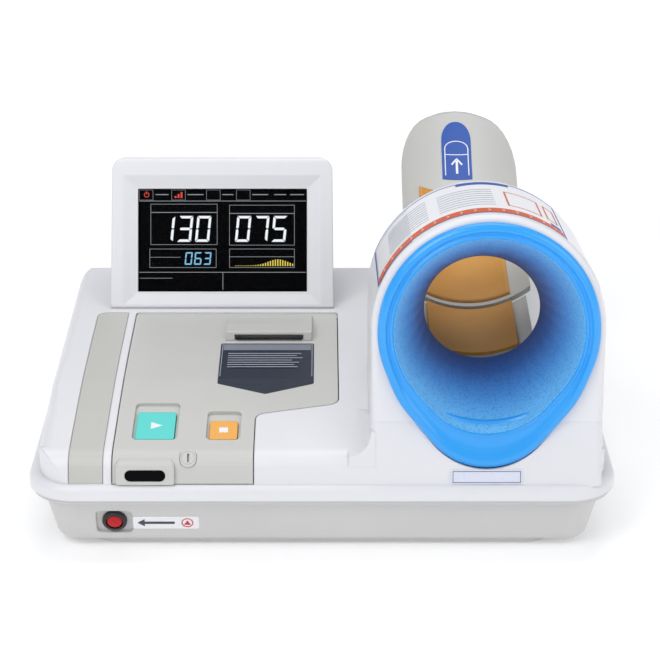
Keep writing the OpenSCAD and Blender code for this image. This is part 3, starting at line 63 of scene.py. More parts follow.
# the deck rises in two straight slopes, a steeper one and then a flatter one
DECK_FRONT_S, DECK_FRONT_Z = 12.7, 87.9
DECK_BREAK_S, DECK_BREAK_Z = 130, 104.3
FRONT_RISE, FRONT_RUN = 16.4, 117.3
BACK_RISE, BACK_RUN = 6.2, 252
FRONT_SLOPE = math.degrees(math.atan(FRONT_RISE / FRONT_RUN))
BACK_SLOPE = math.degrees(math.atan(BACK_RISE / BACK_RUN))
NOTICE_X, NOTICE_S = -48.05, 165
START_X, STOP_X, KEY_FRONT, START_L, STOP_L = -136.9, -80.8, 38.0, 40.0, 27.0

# the tub's front wall leans back as it goes down
TUB_S, TUB_TOP, TUB_LEAN = 10.4, 49.5, 15

# the tower, whose tunnel drops towards the back
TOWER_X, MOUTH_S, MOUTH_Z, TUNNEL_DROP, ARCH_R = 132.6, 31.0, 190.3, 7.0, 93.5
BADGE_S, BADGE_Z, BADGE_RISE, BADGE_RUN = 5.4, 66, 49.1, 16.4

# the display head, whose face leans back
HEAD_X, HEAD_S, HEAD_LIFT, FACE_TILT = -91.6, 275.0, 0.3, 23.0

# the forearm plate bends upwards from its start, and is hollow across
REST_X, REST_S, REST_Z, HOLLOW = 128.0, 194, 144, 80.0
BEND_R, BEND_SLOPE = 377.0, math.radians(3)
BEND_C = (REST_S - BEND_R * math.sin(BEND_SLOPE), REST_Z + BEND_R * math.cos(BEND_SLOPE))
TURN_PER_MM = math.degrees(1 / BEND_R)


def deck_z(s):
    """Height of the deck's skin at depth s."""
    if s < DECK_BREAK_S:
        return DECK_FRONT_Z + FRONT_RISE * (s - DECK_FRONT_S) / FRONT_RUN
    return DECK_BREAK_Z + BACK_RISE * (s - DECK_BREAK_S) / BACK_RUN


def placer(x, s, z, turn):
    """Matrix from millimetres, in axes turned about X at a point, to the frame's metres."""
    return (
        Matrix.Translation(Vector((x, s - HALF_DEPTH, z)) / 1000)
        @ Matrix.Rotation(math.radians(turn), 4, "X")
        @ Matrix.Scale(0.001, 4)
    )


ON_FACE = placer(HEAD_X, HEAD_S, deck_z(HEAD_S) + HEAD_LIFT, 90 - FACE_TILT)
IN_TUNNEL = placer(TOWER_X, MOUTH_S, MOUTH_Z, -90 - TUNNEL_DROP)
FLAT = placer(0, 0, 0, 0)


def on_deck(x, s):
    return placer(x, s, deck_z(s), FRONT_SLOPE if s < DECK_BREAK_S else BACK_SLOPE)


def on_tub(x, z):
    back = (TUB_TOP - z) * math.tan(math.radians(TUB_LEAN))
    return placer(x, TUB_S + back, z, 90 + TUB_LEAN)


# ---------------------------------------------------------------- materials
def srgb(r, g, b):
    """Linear colour from 8-bit display values."""
    out = []
    for c in (r, g, b):
        c /= 255
        out.append(c / 12.92 if c <= 0.04045 else ((c + 0.055) / 1.055) ** 2.4)
    return (*out, 1.0)


def shade(colour, factor):
    return (colour[0] * factor, colour[1] * factor, colour[2] * factor, 1.0)


class Nodes:
    """A small builder for one material's node tree."""

    def __init__(self, name):
        self.mat = bpy.data.materials.new(name)
        self.mat.use_nodes = True
        self.tree = self.mat.node_tree
        self.tree.nodes.clear()
        self.out = self.add("ShaderNodeOutputMaterial")
        self.coord = self.add("ShaderNodeTexCoord").outputs["Object"]

    def link(self, output, socket):
        self.tree.links.new(output, socket)

    def add(self, kind, **sockets):
        node = self.tree.nodes.new(kind)
        for key, value in sockets.items():
            self.put(node, key, value)
        return node

    def put(self, node, key, value):
        name = key.replace("_", " ")
        if hasattr(node, key) and not any(s.name == name for s in node.inputs):
            setattr(node, key, value)
            return
        socket = next(s for s in node.inputs if s.name == name and s.enabled)
        if isinstance(value, bpy.types.NodeSocket):
            self.link(value, socket)
        else:
            socket.default_value = value

    def noise(self, scale, detail=2.0, rough=0.5):
        node = self.add("ShaderNodeTexNoise", Scale=scale, Detail=detail, Roughness=rough)
        self.link(self.coord, node.inputs["Vector"])
        return node.outputs["Fac"]

    def ramp(self, fac, *stops):
        node = self.add("ShaderNodeValToRGB")
        self.link(fac, node.inputs["Fac"])
        ramp = node.color_ramp
        while len(ramp.elements) < len(stops):
            ramp.elements.new(0.5)
        for element, (pos, colour) in zip(ramp.elements, stops):
            element.position = pos
            element.color = colour
        return node.outputs["Color"]

    def spread(self, fac, low, high):
        node = self.add("ShaderNodeMapRange")
        self.link(fac, node.inputs["Value"])
        node.inputs["To Min"].default_value = low
        node.inputs["To Max"].default_value = high
        return node.outputs["Result"]

    def bump(self, height, strength, distance, round_edges=0.0):
        node = self.add("ShaderNodeBump")
        self.link(height, node.inputs["Height"])
        node.inputs["Strength"].default_value = strength
        node.inputs["Distance"].default_value = distance
        if round_edges:
            bevel = self.add("ShaderNodeBevel")
            bevel.samples = 4
            bevel.inputs["Radius"].default_value = round_edges
            self.link(bevel.outputs["Normal"], node.inputs["Normal"])
        return node.outputs["Normal"]

    def principled(self, **sockets):
        node = self.add("ShaderNodeBsdfPrincipled", **sockets)
        self.link(node.outputs["BSDF"], self.out.inputs["Surface"])
        return node


def moulded(
    name, colour, rough=0.42, grain=0.05, grain_size=1400.0, edge=0.0008, coat=0.0, gloss=0.5
):
    """Moulded plastic: a faint cloudy tone, a fine grain and softened edges."""
    n = Nodes(name)
    tone = n.ramp(n.noise(9.0, 3.0), (0.3, shade(colour, 0.972)), (0.7, shade(colour, 1.0)))
    n.principled(
        Base_Color=tone,
        Roughness=n.spread(n.noise(60.0, 3.0), rough - 0.04, rough + 0.05),
        Normal=n.bump(n.noise(grain_size, 2.0), grain, 0.0004, edge),
        Coat_Weight=coat,
        Coat_Roughness=0.15,
        Specular_IOR_Level=gloss,
    )
    return n.mat


def metal(name, colour, rough=0.3):
    """Brushed or turned metal with fine streaks."""
    n = Nodes(name)
    mapping = n.add("ShaderNodeMapping")
    n.link(n.coord, mapping.inputs["Vector"])
    mapping.inputs["Scale"].default_value = (1.0, 1.0, 60.0)
    streak = n.add("ShaderNodeTexNoise", Scale=300.0, Detail=3.0)
    n.link(mapping.outputs["Vector"], streak.inputs["Vector"])
    fac = streak.outputs["Fac"]
    n.principled(
        Base_Color=n.ramp(fac, (0.3, shade(colour, 0.86)), (0.7, colour)),
        Metallic=1.0,
        Roughness=n.spread(fac, rough - 0.08, rough + 0.1),
        Normal=n.bump(fac, 0.08, 0.0002, 0.0003),
    )
    return n.mat


def lining_cloth(name, mouth_s=28, throat_s=112):
    """Knitted cloth of the funnel, with painted shade: paler at the mouth and darker towards
    the throat, standing in for the shade deeper in the funnel.
    """
    n = Nodes(name)
    parts = n.add("ShaderNodeSeparateXYZ")
    n.link(n.coord, parts.inputs["Vector"])
    depth = n.add("ShaderNodeMapRange")
    n.link(parts.outputs["Y"], depth.inputs["Value"])
    depth.inputs["From Min"].default_value = (mouth_s - HALF_DEPTH) / 1000
    depth.inputs["From Max"].default_value = (throat_s - HALF_DEPTH) / 1000
    # painted shade: the cloth's colour darkens with depth from the mouth to the throat, in
    # place of the shade inside the funnel
    base = n.ramp(
        depth.outputs["Result"],
        (0.0, srgb(98, 182, 240)),
        (0.28, srgb(66, 142, 212)),
        (0.62, srgb(32, 90, 162)),
        (1.0, srgb(16, 54, 112)),
    )
    speck = n.ramp(
        n.noise(520.0, 2.0, 0.7),
        (0.38, (0.62, 0.66, 0.72, 1)),
        (0.5, (1, 1, 1, 1)),
        (0.66, (1.0, 1.0, 1.0, 1)),
    )
    mix = n.add("ShaderNodeMix")
    mix.data_type = "RGBA"
    mix.blend_type = "MULTIPLY"
    mix.inputs[0].default_value = 0.7
    n.link(base, mix.inputs[6])
    n.link(speck, mix.inputs[7])
    cell = n.add("ShaderNodeTexVoronoi", Scale=900.0)
    n.link(n.coord, cell.inputs["Vector"])
    weave = n.bump(cell.outputs["Distance"], 0.35, 0.0006)
    node = n.principled(Roughness=0.9, Normal=weave, Sheen_Weight=0.2)
    n.link(mix.outputs[2], node.inputs["Base Color"])
    return n.mat


def vinyl(name, light, dark):
    """Soft skin over foam, with a leathery grain."""
    n = Nodes(name)
    tone = n.ramp(n.noise(14.0, 4.0), (0.3, dark), (0.7, light))
    cell = n.add("ShaderNodeTexVoronoi", Scale=620.0)
    n.link(n.coord, cell.inputs["Vector"])
    n.principled(
        Base_Color=tone,
        Roughness=n.spread(n.noise(90.0, 3.0), 0.42, 0.6),
        Normal=n.bump(cell.outputs["Distance"], 0.22, 0.0005, 0.0008),
    )
    return n.mat


def print_ink(name, colour, rough=0.5):
    """Printed film: even ink with a faint screen and a satin surface."""
    n = Nodes(name)
    n.principled(
        Base_Color=n.ramp(n.noise(700.0, 2.0), (0.3, shade(colour, 0.93)), (0.7, colour)),
        Roughness=n.spread(n.noise(120.0), rough - 0.05, rough + 0.05),
        Normal=n.bump(n.noise(900.0), 0.03, 0.0002),
    )
    return n.mat


def glowing(name, colour, strength):
    """A lit pixel field: its light is broken up by a fine grid."""
    n = Nodes(name)
    grid = n.add("ShaderNodeTexVoronoi", Scale=2400.0)
    n.link(n.coord, grid.inputs["Vector"])
    tone = n.ramp(grid.outputs["Distance"], (0.0, colour), (0.9, shade(colour, 0.8)))
    n.principled(
        Base_Color=shade(colour, 0.2),
        Roughness=0.4,
        Emission_Color=tone,
        Emission_Strength=strength,
    )
    return n.mat


def clear_glass(name):
    """Front glass: almost clear, with the room's reflection on it."""
    n = Nodes(name)
    clear = n.add("ShaderNodeBsdfTransparent", Color=(0.93, 0.94, 0.95, 1))
    gloss = n.add("ShaderNodeBsdfGlossy", Color=(1, 1, 1, 1))
    n.link(n.spread(n.noise(40.0), 0.03, 0.06), gloss.inputs["Roughness"])
    fresnel = n.add("ShaderNodeFresnel", IOR=1.05)
    mix = n.add("ShaderNodeMixShader")
    n.link(fresnel.outputs["Fac"], mix.inputs[0])
    n.link(clear.outputs["BSDF"], mix.inputs[1])
    n.link(gloss.outputs["BSDF"], mix.inputs[2])
    n.link(mix.outputs["Shader"], n.out.inputs["Surface"])
    return n.mat


def circuit(name):
    """Printed board: solder mask over copper lines."""
    n = Nodes(name)
    brick = n.add("ShaderNodeTexBrick", Scale=110.0, Mortar_Size=0.03)
    n.link(n.coord, brick.inputs["Vector"])
    brick.inputs["Color1"].default_value = (0.02, 0.12, 0.05, 1)
    brick.inputs["Color2"].default_value = (0.03, 0.15, 0.07, 1)
    brick.inputs["Mortar"].default_value = (0.10, 0.28, 0.12, 1)
    n.principled(
        Base_Color=brick.outputs["Color"],
        Roughness=0.35,
        Normal=n.bump(brick.outputs["Fac"], 0.2, 0.0002),
    )
    return n.mat


SHELL = moulded("shell", srgb(226, 226, 229), 0.36, 0.035, edge=0.0022)
TUB = moulded("tub", srgb(206, 205, 204), 0.45, 0.05)
PANEL = moulded("panel", srgb(199, 199, 195), 0.45, 0.06)
STRIP = moulded("strip", srgb(193, 192, 187), 0.42, 0.04)
REST = moulded("rest", srgb(196, 196, 192), 0.40, 0.05)
RING = moulded("ring_blue", srgb(38, 158, 240), 0.30, 0.02, coat=0.25)
LINING = lining_cloth("lining")
AMBER = vinyl("amber", srgb(208, 150, 66), srgb(190, 132, 52))
TEAL = moulded("teal", srgb(92, 214, 206), 0.36, 0.03, edge=0.0012)
ORANGE = moulded("orange", srgb(240, 174, 82), 0.36, 0.03, edge=0.0012)
RED = moulded("signal_red", srgb(188, 14, 24), 0.3, 0.01, coat=0.1, gloss=0.25)
BLACK = moulded("black", srgb(22, 22, 23), 0.38, 0.05)
GLOSS_BLACK = moulded("gloss_black", srgb(6, 6, 7), 0.14, 0.005, gloss=0.12)
CREAM = moulded("cream", srgb(224, 222, 210), 0.4)
RUBBER = moulded("rubber", srgb(34, 34, 35), 0.75, 0.12, 900.0)
BLADDER = moulded("bladder", srgb(58, 58, 62), 0.7, 0.1, 700.0)
DRUM = moulded("drum", srgb(150, 150, 150), 0.5)
PAPER = moulded("paper", srgb(238, 238, 235), 0.8, 0.03, 500.0)
STEEL = metal("steel", (0.60, 0.61, 0.63, 1))
ALUMINIUM = metal("aluminium", (0.66, 0.67, 0.68, 1), 0.4)
BRASS = metal("brass", (0.62, 0.46, 0.20, 1), 0.3)
MOTOR = metal("motor", (0.22, 0.22, 0.24, 1), 0.42)
BOARD = circuit("board")
GLASS = clear_glass("glass")
SCREEN = moulded("screen", srgb(3, 3, 4), 0.5, 0.004, gloss=0.04)
PLATE = print_ink("pale_plate", srgb(218, 223, 238), 0.35)
NAVY = print_ink("navy", srgb(26, 38, 56), 0.4)
NAVY_HEAD = print_ink("navy_head", srgb(128, 134, 146))
RULE = print_ink("pale_rule", srgb(176, 184, 196))
WHITE_INK = print_ink("white_ink", srgb(240, 240, 243))
BLUE_INK = print_ink("blue_ink", srgb(38, 84, 172))
ORANGE_INK = print_ink("orange_ink", srgb(212, 92, 34))
RED_INK = print_ink("red_ink", srgb(200, 42, 40))
DARK_INK = print_ink("dark_ink", srgb(60, 66, 78))
LIT_WHITE = glowing("lit_white", (0.95, 0.97, 1.0, 1), 1.0)
LIT_BLUE = glowing("lit_blue", (0.25, 0.62, 0.90, 1), 0.9)
LIT_YELLOW = glowing("lit_yellow", (0.95, 0.72, 0.10, 1), 0.9)
LIT_RED = glowing("lit_red", (0.80, 0.05, 0.04, 1), 0.9)
LIT_GREY = glowing("lit_grey", (0.45, 0.48, 0.50, 1), 0.7)

FINISH = {
    "shell": SHELL, "tub": TUB, "panel": PANEL, "strip": STRIP, "rest": REST,
    "ring_blue": RING, "lining": LINING, "bladder": BLADDER, "drum": DRUM, "amber": AMBER,
    "teal": TEAL, "orange": ORANGE, "signal_red": RED, "black": BLACK,
    "gloss_black": GLOSS_BLACK, "cream": CREAM, "navy": NAVY, "label": WHITE_INK,
    "label_blue": BLUE_INK, "pale_plate": PLATE, "paper": PAPER, "steel": STEEL,
    "motor": MOTOR, "aluminium": ALUMINIUM, "brass": BRASS, "rubber": RUBBER,
    "board": BOARD, "glass": GLASS,
}
for entry in frame["record"]["subparts"]:
    obj = nodes[entry["node"]]
    obj.data.materials.clear()
    obj.data.materials.append(FINISH[entry["material_slot"]])
nodes["lcd_panel"].data.materials[0] = SCREEN


# ---------------------------------------------------------------- mesh tools
def piece(name, verts, faces, matrix, mat, body, smooth=True):
    """A mesh piece given in a placer's millimetres, riding on a body."""
    mesh = bpy.data.meshes.new(name)
    mesh.from_pydata([matrix @ Vector(v) for v in verts], [], faces)
    mesh.validate()
    obj = bpy.data.objects.new(name, mesh)
    bpy.context.collection.objects.link(obj)
    mesh.materials.append(mat)
    work = bmesh.new()
    work.from_mesh(mesh)
    bmesh.ops.recalc_face_normals(work, faces=work.faces)
    work.to_mesh(mesh)
    work.free()
    if smooth:
        mesh.shade_smooth()
    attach(obj, body)
    return obj


def prism(outline, z0, z1):
    """Vertices and faces of a flat outline given thickness."""
    n = len(outline)
    verts = [(x, y, z0) for x, y in outline] + [(x, y, z1) for x, y in outline]
    faces = [tuple(range(n - 1, -1, -1)), tuple(range(n, 2 * n))]
    faces += [(i, (i + 1) % n, n + (i + 1) % n, n + i) for i in range(n)]
    return verts, faces


def marks(name, shapes, matrix, mat, body, slot, z0, z1):
    """One flat piece from several outlines, from height z0 to z1."""
    verts, faces = [], []
    for outline in shapes:
        v, f = prism(outline, z0, z1)
        faces += [tuple(i + len(verts) for i in face) for face in f]
        verts += v
    return piece(name, verts, faces, matrix, mat, body, smooth=False)


def rect(x0, y0, x1, y1):
    return [(x0, y0), (x1, y0), (x1, y1), (x0, y1)]


def border(x0, y0, x1, y1, w):
    return [
        rect(x0, y0, x1, y0 + w),
        rect(x0, y1 - w, x1, y1),
        rect(x0, y0 + w, x0 + w, y1 - w),
        rect(x1 - w, y0 + w, x1, y1 - w),
    ]


def arc_band(x, y, r, w, a0, a1, n):
    """Ring segments as n quads, from angle a0 to a1."""
    out = []
    for i in range(n):
        p, q = (math.radians(a0 + (a1 - a0) * k / n) for k in (i, i + 1))
        corners = ((r - w, p), (r, p), (r, q), (r - w, q))
        out.append([(x + far * math.cos(a), y + far * math.sin(a)) for far, a in corners])
    return out


def bar_faces(base, steps):
    """Faces of a thin bar with four vertices at each of steps + 1 places, from vertex base."""
    last = base + 4 * steps
    faces = [(base, base + 2, base + 3, base + 1), (last, last + 1, last + 3, last + 2)]
    for p in range(base, last, 4):
        q = p + 4
        faces += [(p, p + 1, q + 1, q), (p + 2, q + 2, q + 3, p + 3)]
        faces += [(p, q, q + 2, p + 2), (p + 1, p + 3, q + 3, q + 1)]
    return faces


# ---------------------------------------------------------------- display
# The picture is laid out in units of its own, with x to the right and y down.
LIT_X, LIT_Y = 155.5 / 169.2, 94.7 / 103.0
MIDDLE_X, MIDDLE_Y, MIDDLE_HEIGHT = 222.4, 239.5, 63.4
# heights over the head's face: the panel's own, then lines, the top bar and figures
PANEL_H, LINES_H, BAR_H, FIGURES_H = -8.62, -8.56, -8.54, -8.52


def lit(x, y):
    """Place on the display's face, in millimetres, of a point in the layout."""
    return ((x - MIDDLE_X) * LIT_X, MIDDLE_HEIGHT + (MIDDLE_Y - y) * LIT_Y)


def lit_box(x0, y0, x1, y1):
    (a, b), (c, d) = lit(x0, y1), lit(x1, y0)
    return rect(a, b, c, d)


def lit_frame(x0, y0, x1, y1, w=0.35):
    (a, b), (c, d) = lit(x0, y1), lit(x1, y0)
    return border(a, b, c, d, w)


SEGMENTS = {"0": "abcdef", "1": "bc", "3": "abcdg", "5": "acdfg", "6": "acdefg", "7": "abc"}
SLANT = 0.10


def digit(char, x, y, w, h, t):
    """Slanted seven-segment figure with its lower left corner at x, y and strokes t wide."""
    g, half = 0.09 * t, h / 2
    bars = {
        "a": [(t * 0.2, h), (w - t * 0.2, h), (w - t - g, h - t), (t + g, h - t)],
        "d": [(t + g, t), (w - t - g, t), (w - t * 0.2, 0), (t * 0.2, 0)],
        "g": [
            (t * 0.7, half), (t * 1.15, half + t / 2), (w - t * 1.15, half + t / 2),
            (w - t * 0.7, half), (w - t * 1.15, half - t / 2), (t * 1.15, half - t / 2),
        ],
        "f": [
            (0, h - t * 0.3), (t, h - t - g), (t, half + t * 0.55),
            (t * 0.5, half + g), (0, half + t * 0.4),
        ],
        "e": [
            (0, half - t * 0.4), (t * 0.5, half - g), (t, half - t * 0.55),
            (t, t + g), (0, t * 0.3),
        ],
    }
    bars["b"] = [(w - px, py) for px, py in bars["f"]]
    bars["c"] = [(w - px, py) for px, py in bars["e"]]
    return [[(x + px + py * SLANT, y + py) for px, py in bars[s]] for s in SEGMENTS[char]]


def number(chars, x0, y0, step, w, h, t):
    """Figures in a row; x0, y0, step, w and h are in the layout's units."""
    x, y = lit(x0, y0)
    out = []
    for i, char in enumerate(chars):
        out += digit(char, x + i * (step * LIT_X), y, w * LIT_X, h * LIT_Y, t)
    return out


def on_screen(name, shapes, mat, top):
    marks(name, shapes, ON_FACE, mat, "base", "gloss_black", PANEL_H, top)


def build_display():
    lines = []
    for corners in (
        (150, 203, 217, 244), (229, 204, 294.5, 244.5),
        (149, 248, 216, 267), (229, 248, 294.5, 267),
    ):
        lines += lit_frame(*corners)
    for corners in (
        (150, 211.2, 217, 211.8), (229, 212.2, 294.5, 212.8), (138.5, 199.8, 306.5, 200.3),
        (138.5, 271.3, 306.5, 271.8), (222.3, 271.5, 222.8, 289), (149, 256.3, 180, 256.7),
        (229, 255.8, 294.5, 256.2), (139, 277.3, 172, 277.7),
    ):
        lines.append(lit_box(*corners))
    on_screen("screen_lines", lines, LIT_GREY, LINES_H)

    figures = []
    for chars, x0 in (("130", 158), ("075", 234.5)):
        figures += number(chars, x0, 241, 18.2, 14.2, 26.0, 2.3)
    on_screen("screen_figures", figures, LIT_WHITE, FIGURES_H)
    pulse = number("063", 184, 264, 9.4, 7.2, 12.6, 1.25)
    on_screen("screen_pulse", pulse, LIT_BLUE, FIGURES_H)

    # a row of bars under a bell curve
    wave, bars, foot = [], 24, 265.3
    for i in range(bars):
        k = i / (bars - 1)
        tall = 6.2 * math.exp(-((k - 0.74) / 0.24) ** 2) + 0.5
        wave.append(lit_box(235 + 57 * k, foot - tall, 236.2 + 57 * k, foot))
    on_screen("screen_wave", wave, LIT_YELLOW, FIGURES_H)

    # the top bar: a power sign, a level sign, boxes and rules
    x, y = lit(146, 193.8)
    power = arc_band(x, y, 2.5, 0.75, 115, 425, 24) + [rect(x - 0.4, y + 0.4, x + 0.4, y + 3.2)]
    on_screen("screen_power", power, LIT_RED, FIGURES_H)
    bar = []
    for x0 in (138.5, 171, 206, 236):
        bar += lit_frame(x0, 188.8, x0 + 14, 199.2, 0.25)
    for x0, x1 in ((155, 168), (187, 203), (222, 233), (252, 268), (274, 286), (290, 304)):
        bar.append(lit_box(x0, 193.2, x1, 194.0))
    on_screen("screen_bar", bar, LIT_GREY, BAR_H)
    level = [lit_box(x0, y0, x0 + 2, 197) for x0, y0 in ((174, 195), (177, 193), (180, 191))]
    on_screen("screen_level", level, LIT_RED, BAR_H)


# ---------------------------------------------------------------- cuff
# In the tunnel x and y run across it, y downwards, and t runs back from the front wall.
AROUND = 192
ANGLES = [2 * math.pi * i / AROUND for i in range(AROUND)]
CENTRE = (0.0, 8.0)


def cross(o, a, b):
    return (a[0] - o[0]) * (b[1] - o[1]) - (a[1] - o[1]) * (b[0] - o[0])


def convex(points):
    """Convex outline of points, counter-clockwise."""
    points = sorted(set(points))

    def half(seq):
        out = []
        for p in seq:
            while len(out) > 1 and cross(out[-2], out[-1], p) <= 0:
                out.pop()
            out.append(p)
        return out

    return half(points)[:-1] + half(points[::-1])[:-1]


def polar(circles):
    """Distance from CENTRE to the hull of circles at each angle, smoothed a little."""
    pts = []
    for cx, cy, r in circles:
        for step in range(0, 360, 2):
            a = step * math.pi / 180
            pts.append((round(cx + r * math.cos(a), 4), round(cy + r * math.sin(a), 4)))
    hull = convex(pts)
    out = []
    for a in ANGLES:
        dx, dy = math.cos(a), math.sin(a)
        best = 0.0
        for p, q in zip(hull, hull[1:] + hull[:1]):
            ex, ey = q[0] - p[0], q[1] - p[1]
            den = dx * ey - dy * ex
            if abs(den) < 1e-12:
                continue
            px, py = p[0] - CENTRE[0], p[1] - CENTRE[1]
            t = (px * ey - py * ex) / den
            u = (px * dy - py * dx) / den
            if t > 0 and -1e-6 <= u <= 1 + 1e-6:
                best = max(best, t)
        out.append(best)
    for _ in range(3):
        out = [(out[i - 1] + 2 * out[i] + out[(i + 1) % AROUND]) / 4 for i in range(AROUND)]
    return out


# outlines of the ring's outside and of its inner lip, as the hulls of circles
OUTER = polar([(0, 0, 88.7), (0, 16, 82.9), (0, 58.1, 56)])
MOUTH = polar([(0, 0, 76), (0, 24, 60.5)])
# the ring's section: distances in from OUTER or out from MOUTH, each with its t
OUTER_ROUND = (
    (1.6, -0.3), (0.6, -0.9), (0.1, -1.8), (0.0, -2.8), (0.1, -3.9),
    (0.6, -5.2), (1.5, -6.3), (2.8, -7.2), (4.4, -7.8), (6.2, -8.0),
)
INNER_LIP = (
    (3.4, -5.6), (2.8, -6.1), (2.0, -6.4), (1.2, -6.3), (0.6, -5.8), (0.3, -4.8), (0.1, -3.2),
)
# behind the lip the section turns from MOUTH to the wall's round hole, by shares
BORE_R, BORE_FLARE, HOLE_R = 76.5, 1.05, 80.4
INTO_BORE = ((0.15, -1.6), (0.5, 0.2), (0.85, 1.6), (1.0, 2.4), (1.0, 12.0))
DISH_STEPS, DISH, DISH_TURN = 8, 2.6, 0.62

# the cloth: where it starts, how long it is, and where it is fully drawn in
CLOTH_T, CLOTH_LEN, DRAWN_IN, ROLL_T, ROLL_LEN = -5.0, 89.0, 80.0, 75.0, 9.0
CLOTH_STEPS, CLOTH_BACK = 56, 1.018
THROAT_W, THROAT_H, THROAT_DROP, ROLL = 48.0, 43.8, 1.5, 3.4
WALL_T, WALL_R, BLADDER_T, BLADDER_R = -0.4, 79.3, 12.0, 74.3


def loft(rings):
    """Vertices and faces through rings of equal length, open at both ends."""
    n = len(rings[0])
    verts = [p for ring in rings for p in ring]
    faces = []
    for k in range(len(rings) - 1):
        for i in range(n):
            j = (i + 1) % n
            faces.append((k * n + i, k * n + j, (k + 1) * n + j, (k + 1) * n + i))
    return verts, faces


def ring_at(radius, t, centre=CENTRE):
    """Ring of points at depth t, with radius(i) from centre at the angle of index i."""
    return [
        (centre[0] + radius(i) * math.cos(a), centre[1] + radius(i) * math.sin(a), t)
        for i, a in enumerate(ANGLES)
    ]


def build_ring():
    rings = [ring_at(lambda i: OUTER[i] - inset, t) for inset, t in OUTER_ROUND]
    # a dished face that runs from the outer round to the raised inner lip
    rim, rim_t = OUTER_ROUND[-1]
    for k in range(1, DISH_STEPS):
        f = k / DISH_STEPS
        t = rim_t + DISH * math.sin(math.pi * f * DISH_TURN)
        rings.append(
            ring_at(lambda i: (OUTER[i] - rim) * (1 - f) + (MOUTH[i] + INNER_LIP[0][0]) * f, t)
        )
    rings += [ring_at(lambda i: MOUTH[i] + grow, t) for grow, t in INNER_LIP]
    for f, t in INTO_BORE:
        row = []
        for (x, y, _), a in zip(ring_at(lambda i: MOUTH[i], t), ANGLES):
            row.append((
                x * (1 - f) + BORE_R * math.cos(a) * f,
                y * (1 - f) + BORE_R * math.sin(a) * f,
                t,
            ))
        rings.append(row)
    rings.append([(x * BORE_FLARE, y * BORE_FLARE, t) for x, y, t in rings[-1]])
    rings.append(ring_at(lambda i: HOLE_R, OUTER_ROUND[0][1], (0, 0)))
    verts, faces = loft(rings)
    obj = piece("ring_shell", verts, faces, IN_TUNNEL, RING, "base")
    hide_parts("inlet_ring")


def cloth_limit(t):
    """Largest radius of the cloth: the ring's flare, the front wall's hole, the bladder."""
    if t <= WALL_T:
        return WALL_R + 4.9 * ((WALL_T - t) / 4.6) ** 1.4
    limit = WALL_R - 5.0 * min(1.0, (t - WALL_T) / 12.0)
    if t > BLADDER_T:
        limit = min(limit, BLADDER_R - 22.2 * min(1.0, (t - BLADDER_T) / 63.0))
    return limit


def build_lining():
    """Stretch cloth from the ring's lip to the throat, drawn in like a soft funnel."""
    rings = []
    for k in range(CLOTH_STEPS + 1):
        t = CLOTH_T + CLOTH_LEN * (k / CLOTH_STEPS) ** 1.25
        g = min(1.0, (t - CLOTH_T) / DRAWN_IN)
        bulge = math.sin(math.pi * g)
        ease = g + 0.10 * bulge
        roll = max(0.0, (t - ROLL_T) / ROLL_LEN)
        row = []
        for i, a in enumerate(ANGLES):
            mouth = MOUTH[i] - 0.4
            mx, my = CENTRE[0] + mouth * math.cos(a), CENTRE[1] + mouth * math.sin(a)
            tx, ty = THROAT_W * math.cos(a), THROAT_H * math.sin(a) + THROAT_DROP
            folds = 0.35 * bulge * math.sin(a * 26 + 3 * math.sin(2 * a))
            pucker = folds + 0.5 * bulge * math.sin(5 * a + 1.0)
            x, y = mx * (1 - ease) + tx * ease, my * (1 - ease) + ty * ease
            swell = 1 + (ROLL * roll * roll + pucker) / math.hypot(x, y)
            x, y = x * swell, y * swell
            held = min(1.0, cloth_limit(t) / math.hypot(x, y))
            row.append((x * held, y * held, t))
        rings.append(row)
    rings += [[(x * CLOTH_BACK, y * CLOTH_BACK, t) for x, y, t in row] for row in rings[::-1]]
    verts, faces = loft(rings)
    last = (len(rings) - 1) * AROUND
    for i in range(AROUND):
        j = (i + 1) % AROUND
        faces.append((last + i, last + j, j, i))
    obj = piece("lining_cloth", verts, faces, IN_TUNNEL, LINING, "base")
    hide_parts("cuff_lining")


# ---------------------------------------------------------------- pads
PAD_HALF_W, PAD_START, PAD_TURN, PAD_THICK, PAD_ROUND, PAD_GAP = 37.0, 1, 25.24, 3.0, 3.2, 0.15


def soft_edge(d, width):
    """Height share of a padded edge at distance d in from its outline."""
    return 1.0 if d >= width else math.sqrt(max(0.0, 1 - (1 - max(d, 0.0) / width) ** 2))


def pad_mesh(name, node, half_w, length, hollow, thick, to_world, nu=56, nv=72):
    """Cushion over a hollow: u runs across, v along; to_world takes (u, v, lift)."""
    verts, faces = [], []
    for layer in (0, 1):
        for j in range(nv + 1):
            for i in range(nu + 1):
                u = -half_w + 2 * half_w * (0.5 - 0.5 * math.cos(math.pi * i / nu))
                v = length * (0.5 - 0.5 * math.cos(math.pi * j / nv))
                edge = min(half_w - abs(u), v, length - v)
                lift = PAD_GAP
                if layer:
                    lift += (thick - 0.2) * soft_edge(edge, PAD_ROUND)
                rise = hollow - math.sqrt(hollow * hollow - u * u)
                verts.append(to_world(u, v, rise + lift))
    n = (nu + 1) * (nv + 1)
    for j in range(nv):
        for i in range(nu):
            a = j * (nu + 1) + i
            faces.append((a, a + nu + 1, a + nu + 2, a + 1))
            faces.append((n + a, n + a + 1, n + a + nu + 2, n + a + nu + 1))
    rim = list(range(nu + 1)) + [j * (nu + 1) + nu for j in range(1, nv + 1)]
    rim += [nv * (nu + 1) + i for i in range(nu - 1, -1, -1)]
    rim += [j * (nu + 1) for j in range(nv - 1, 0, -1)]
    faces += [(p, q, n + q, n + p) for p, q in zip(rim, rim[1:] + rim[:1])]
    obj = piece(name, verts, faces, FLAT, AMBER, "base")
    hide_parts(node)


def on_rest(u, turn, height):
    """Point at u across the forearm plate, turn along its bend, and height over its floor."""
    a = BEND_SLOPE + math.radians(turn)
    r = BEND_R - height
    return (REST_X + u, BEND_C[0] + r * math.sin(a), BEND_C[1] - r * math.cos(a))


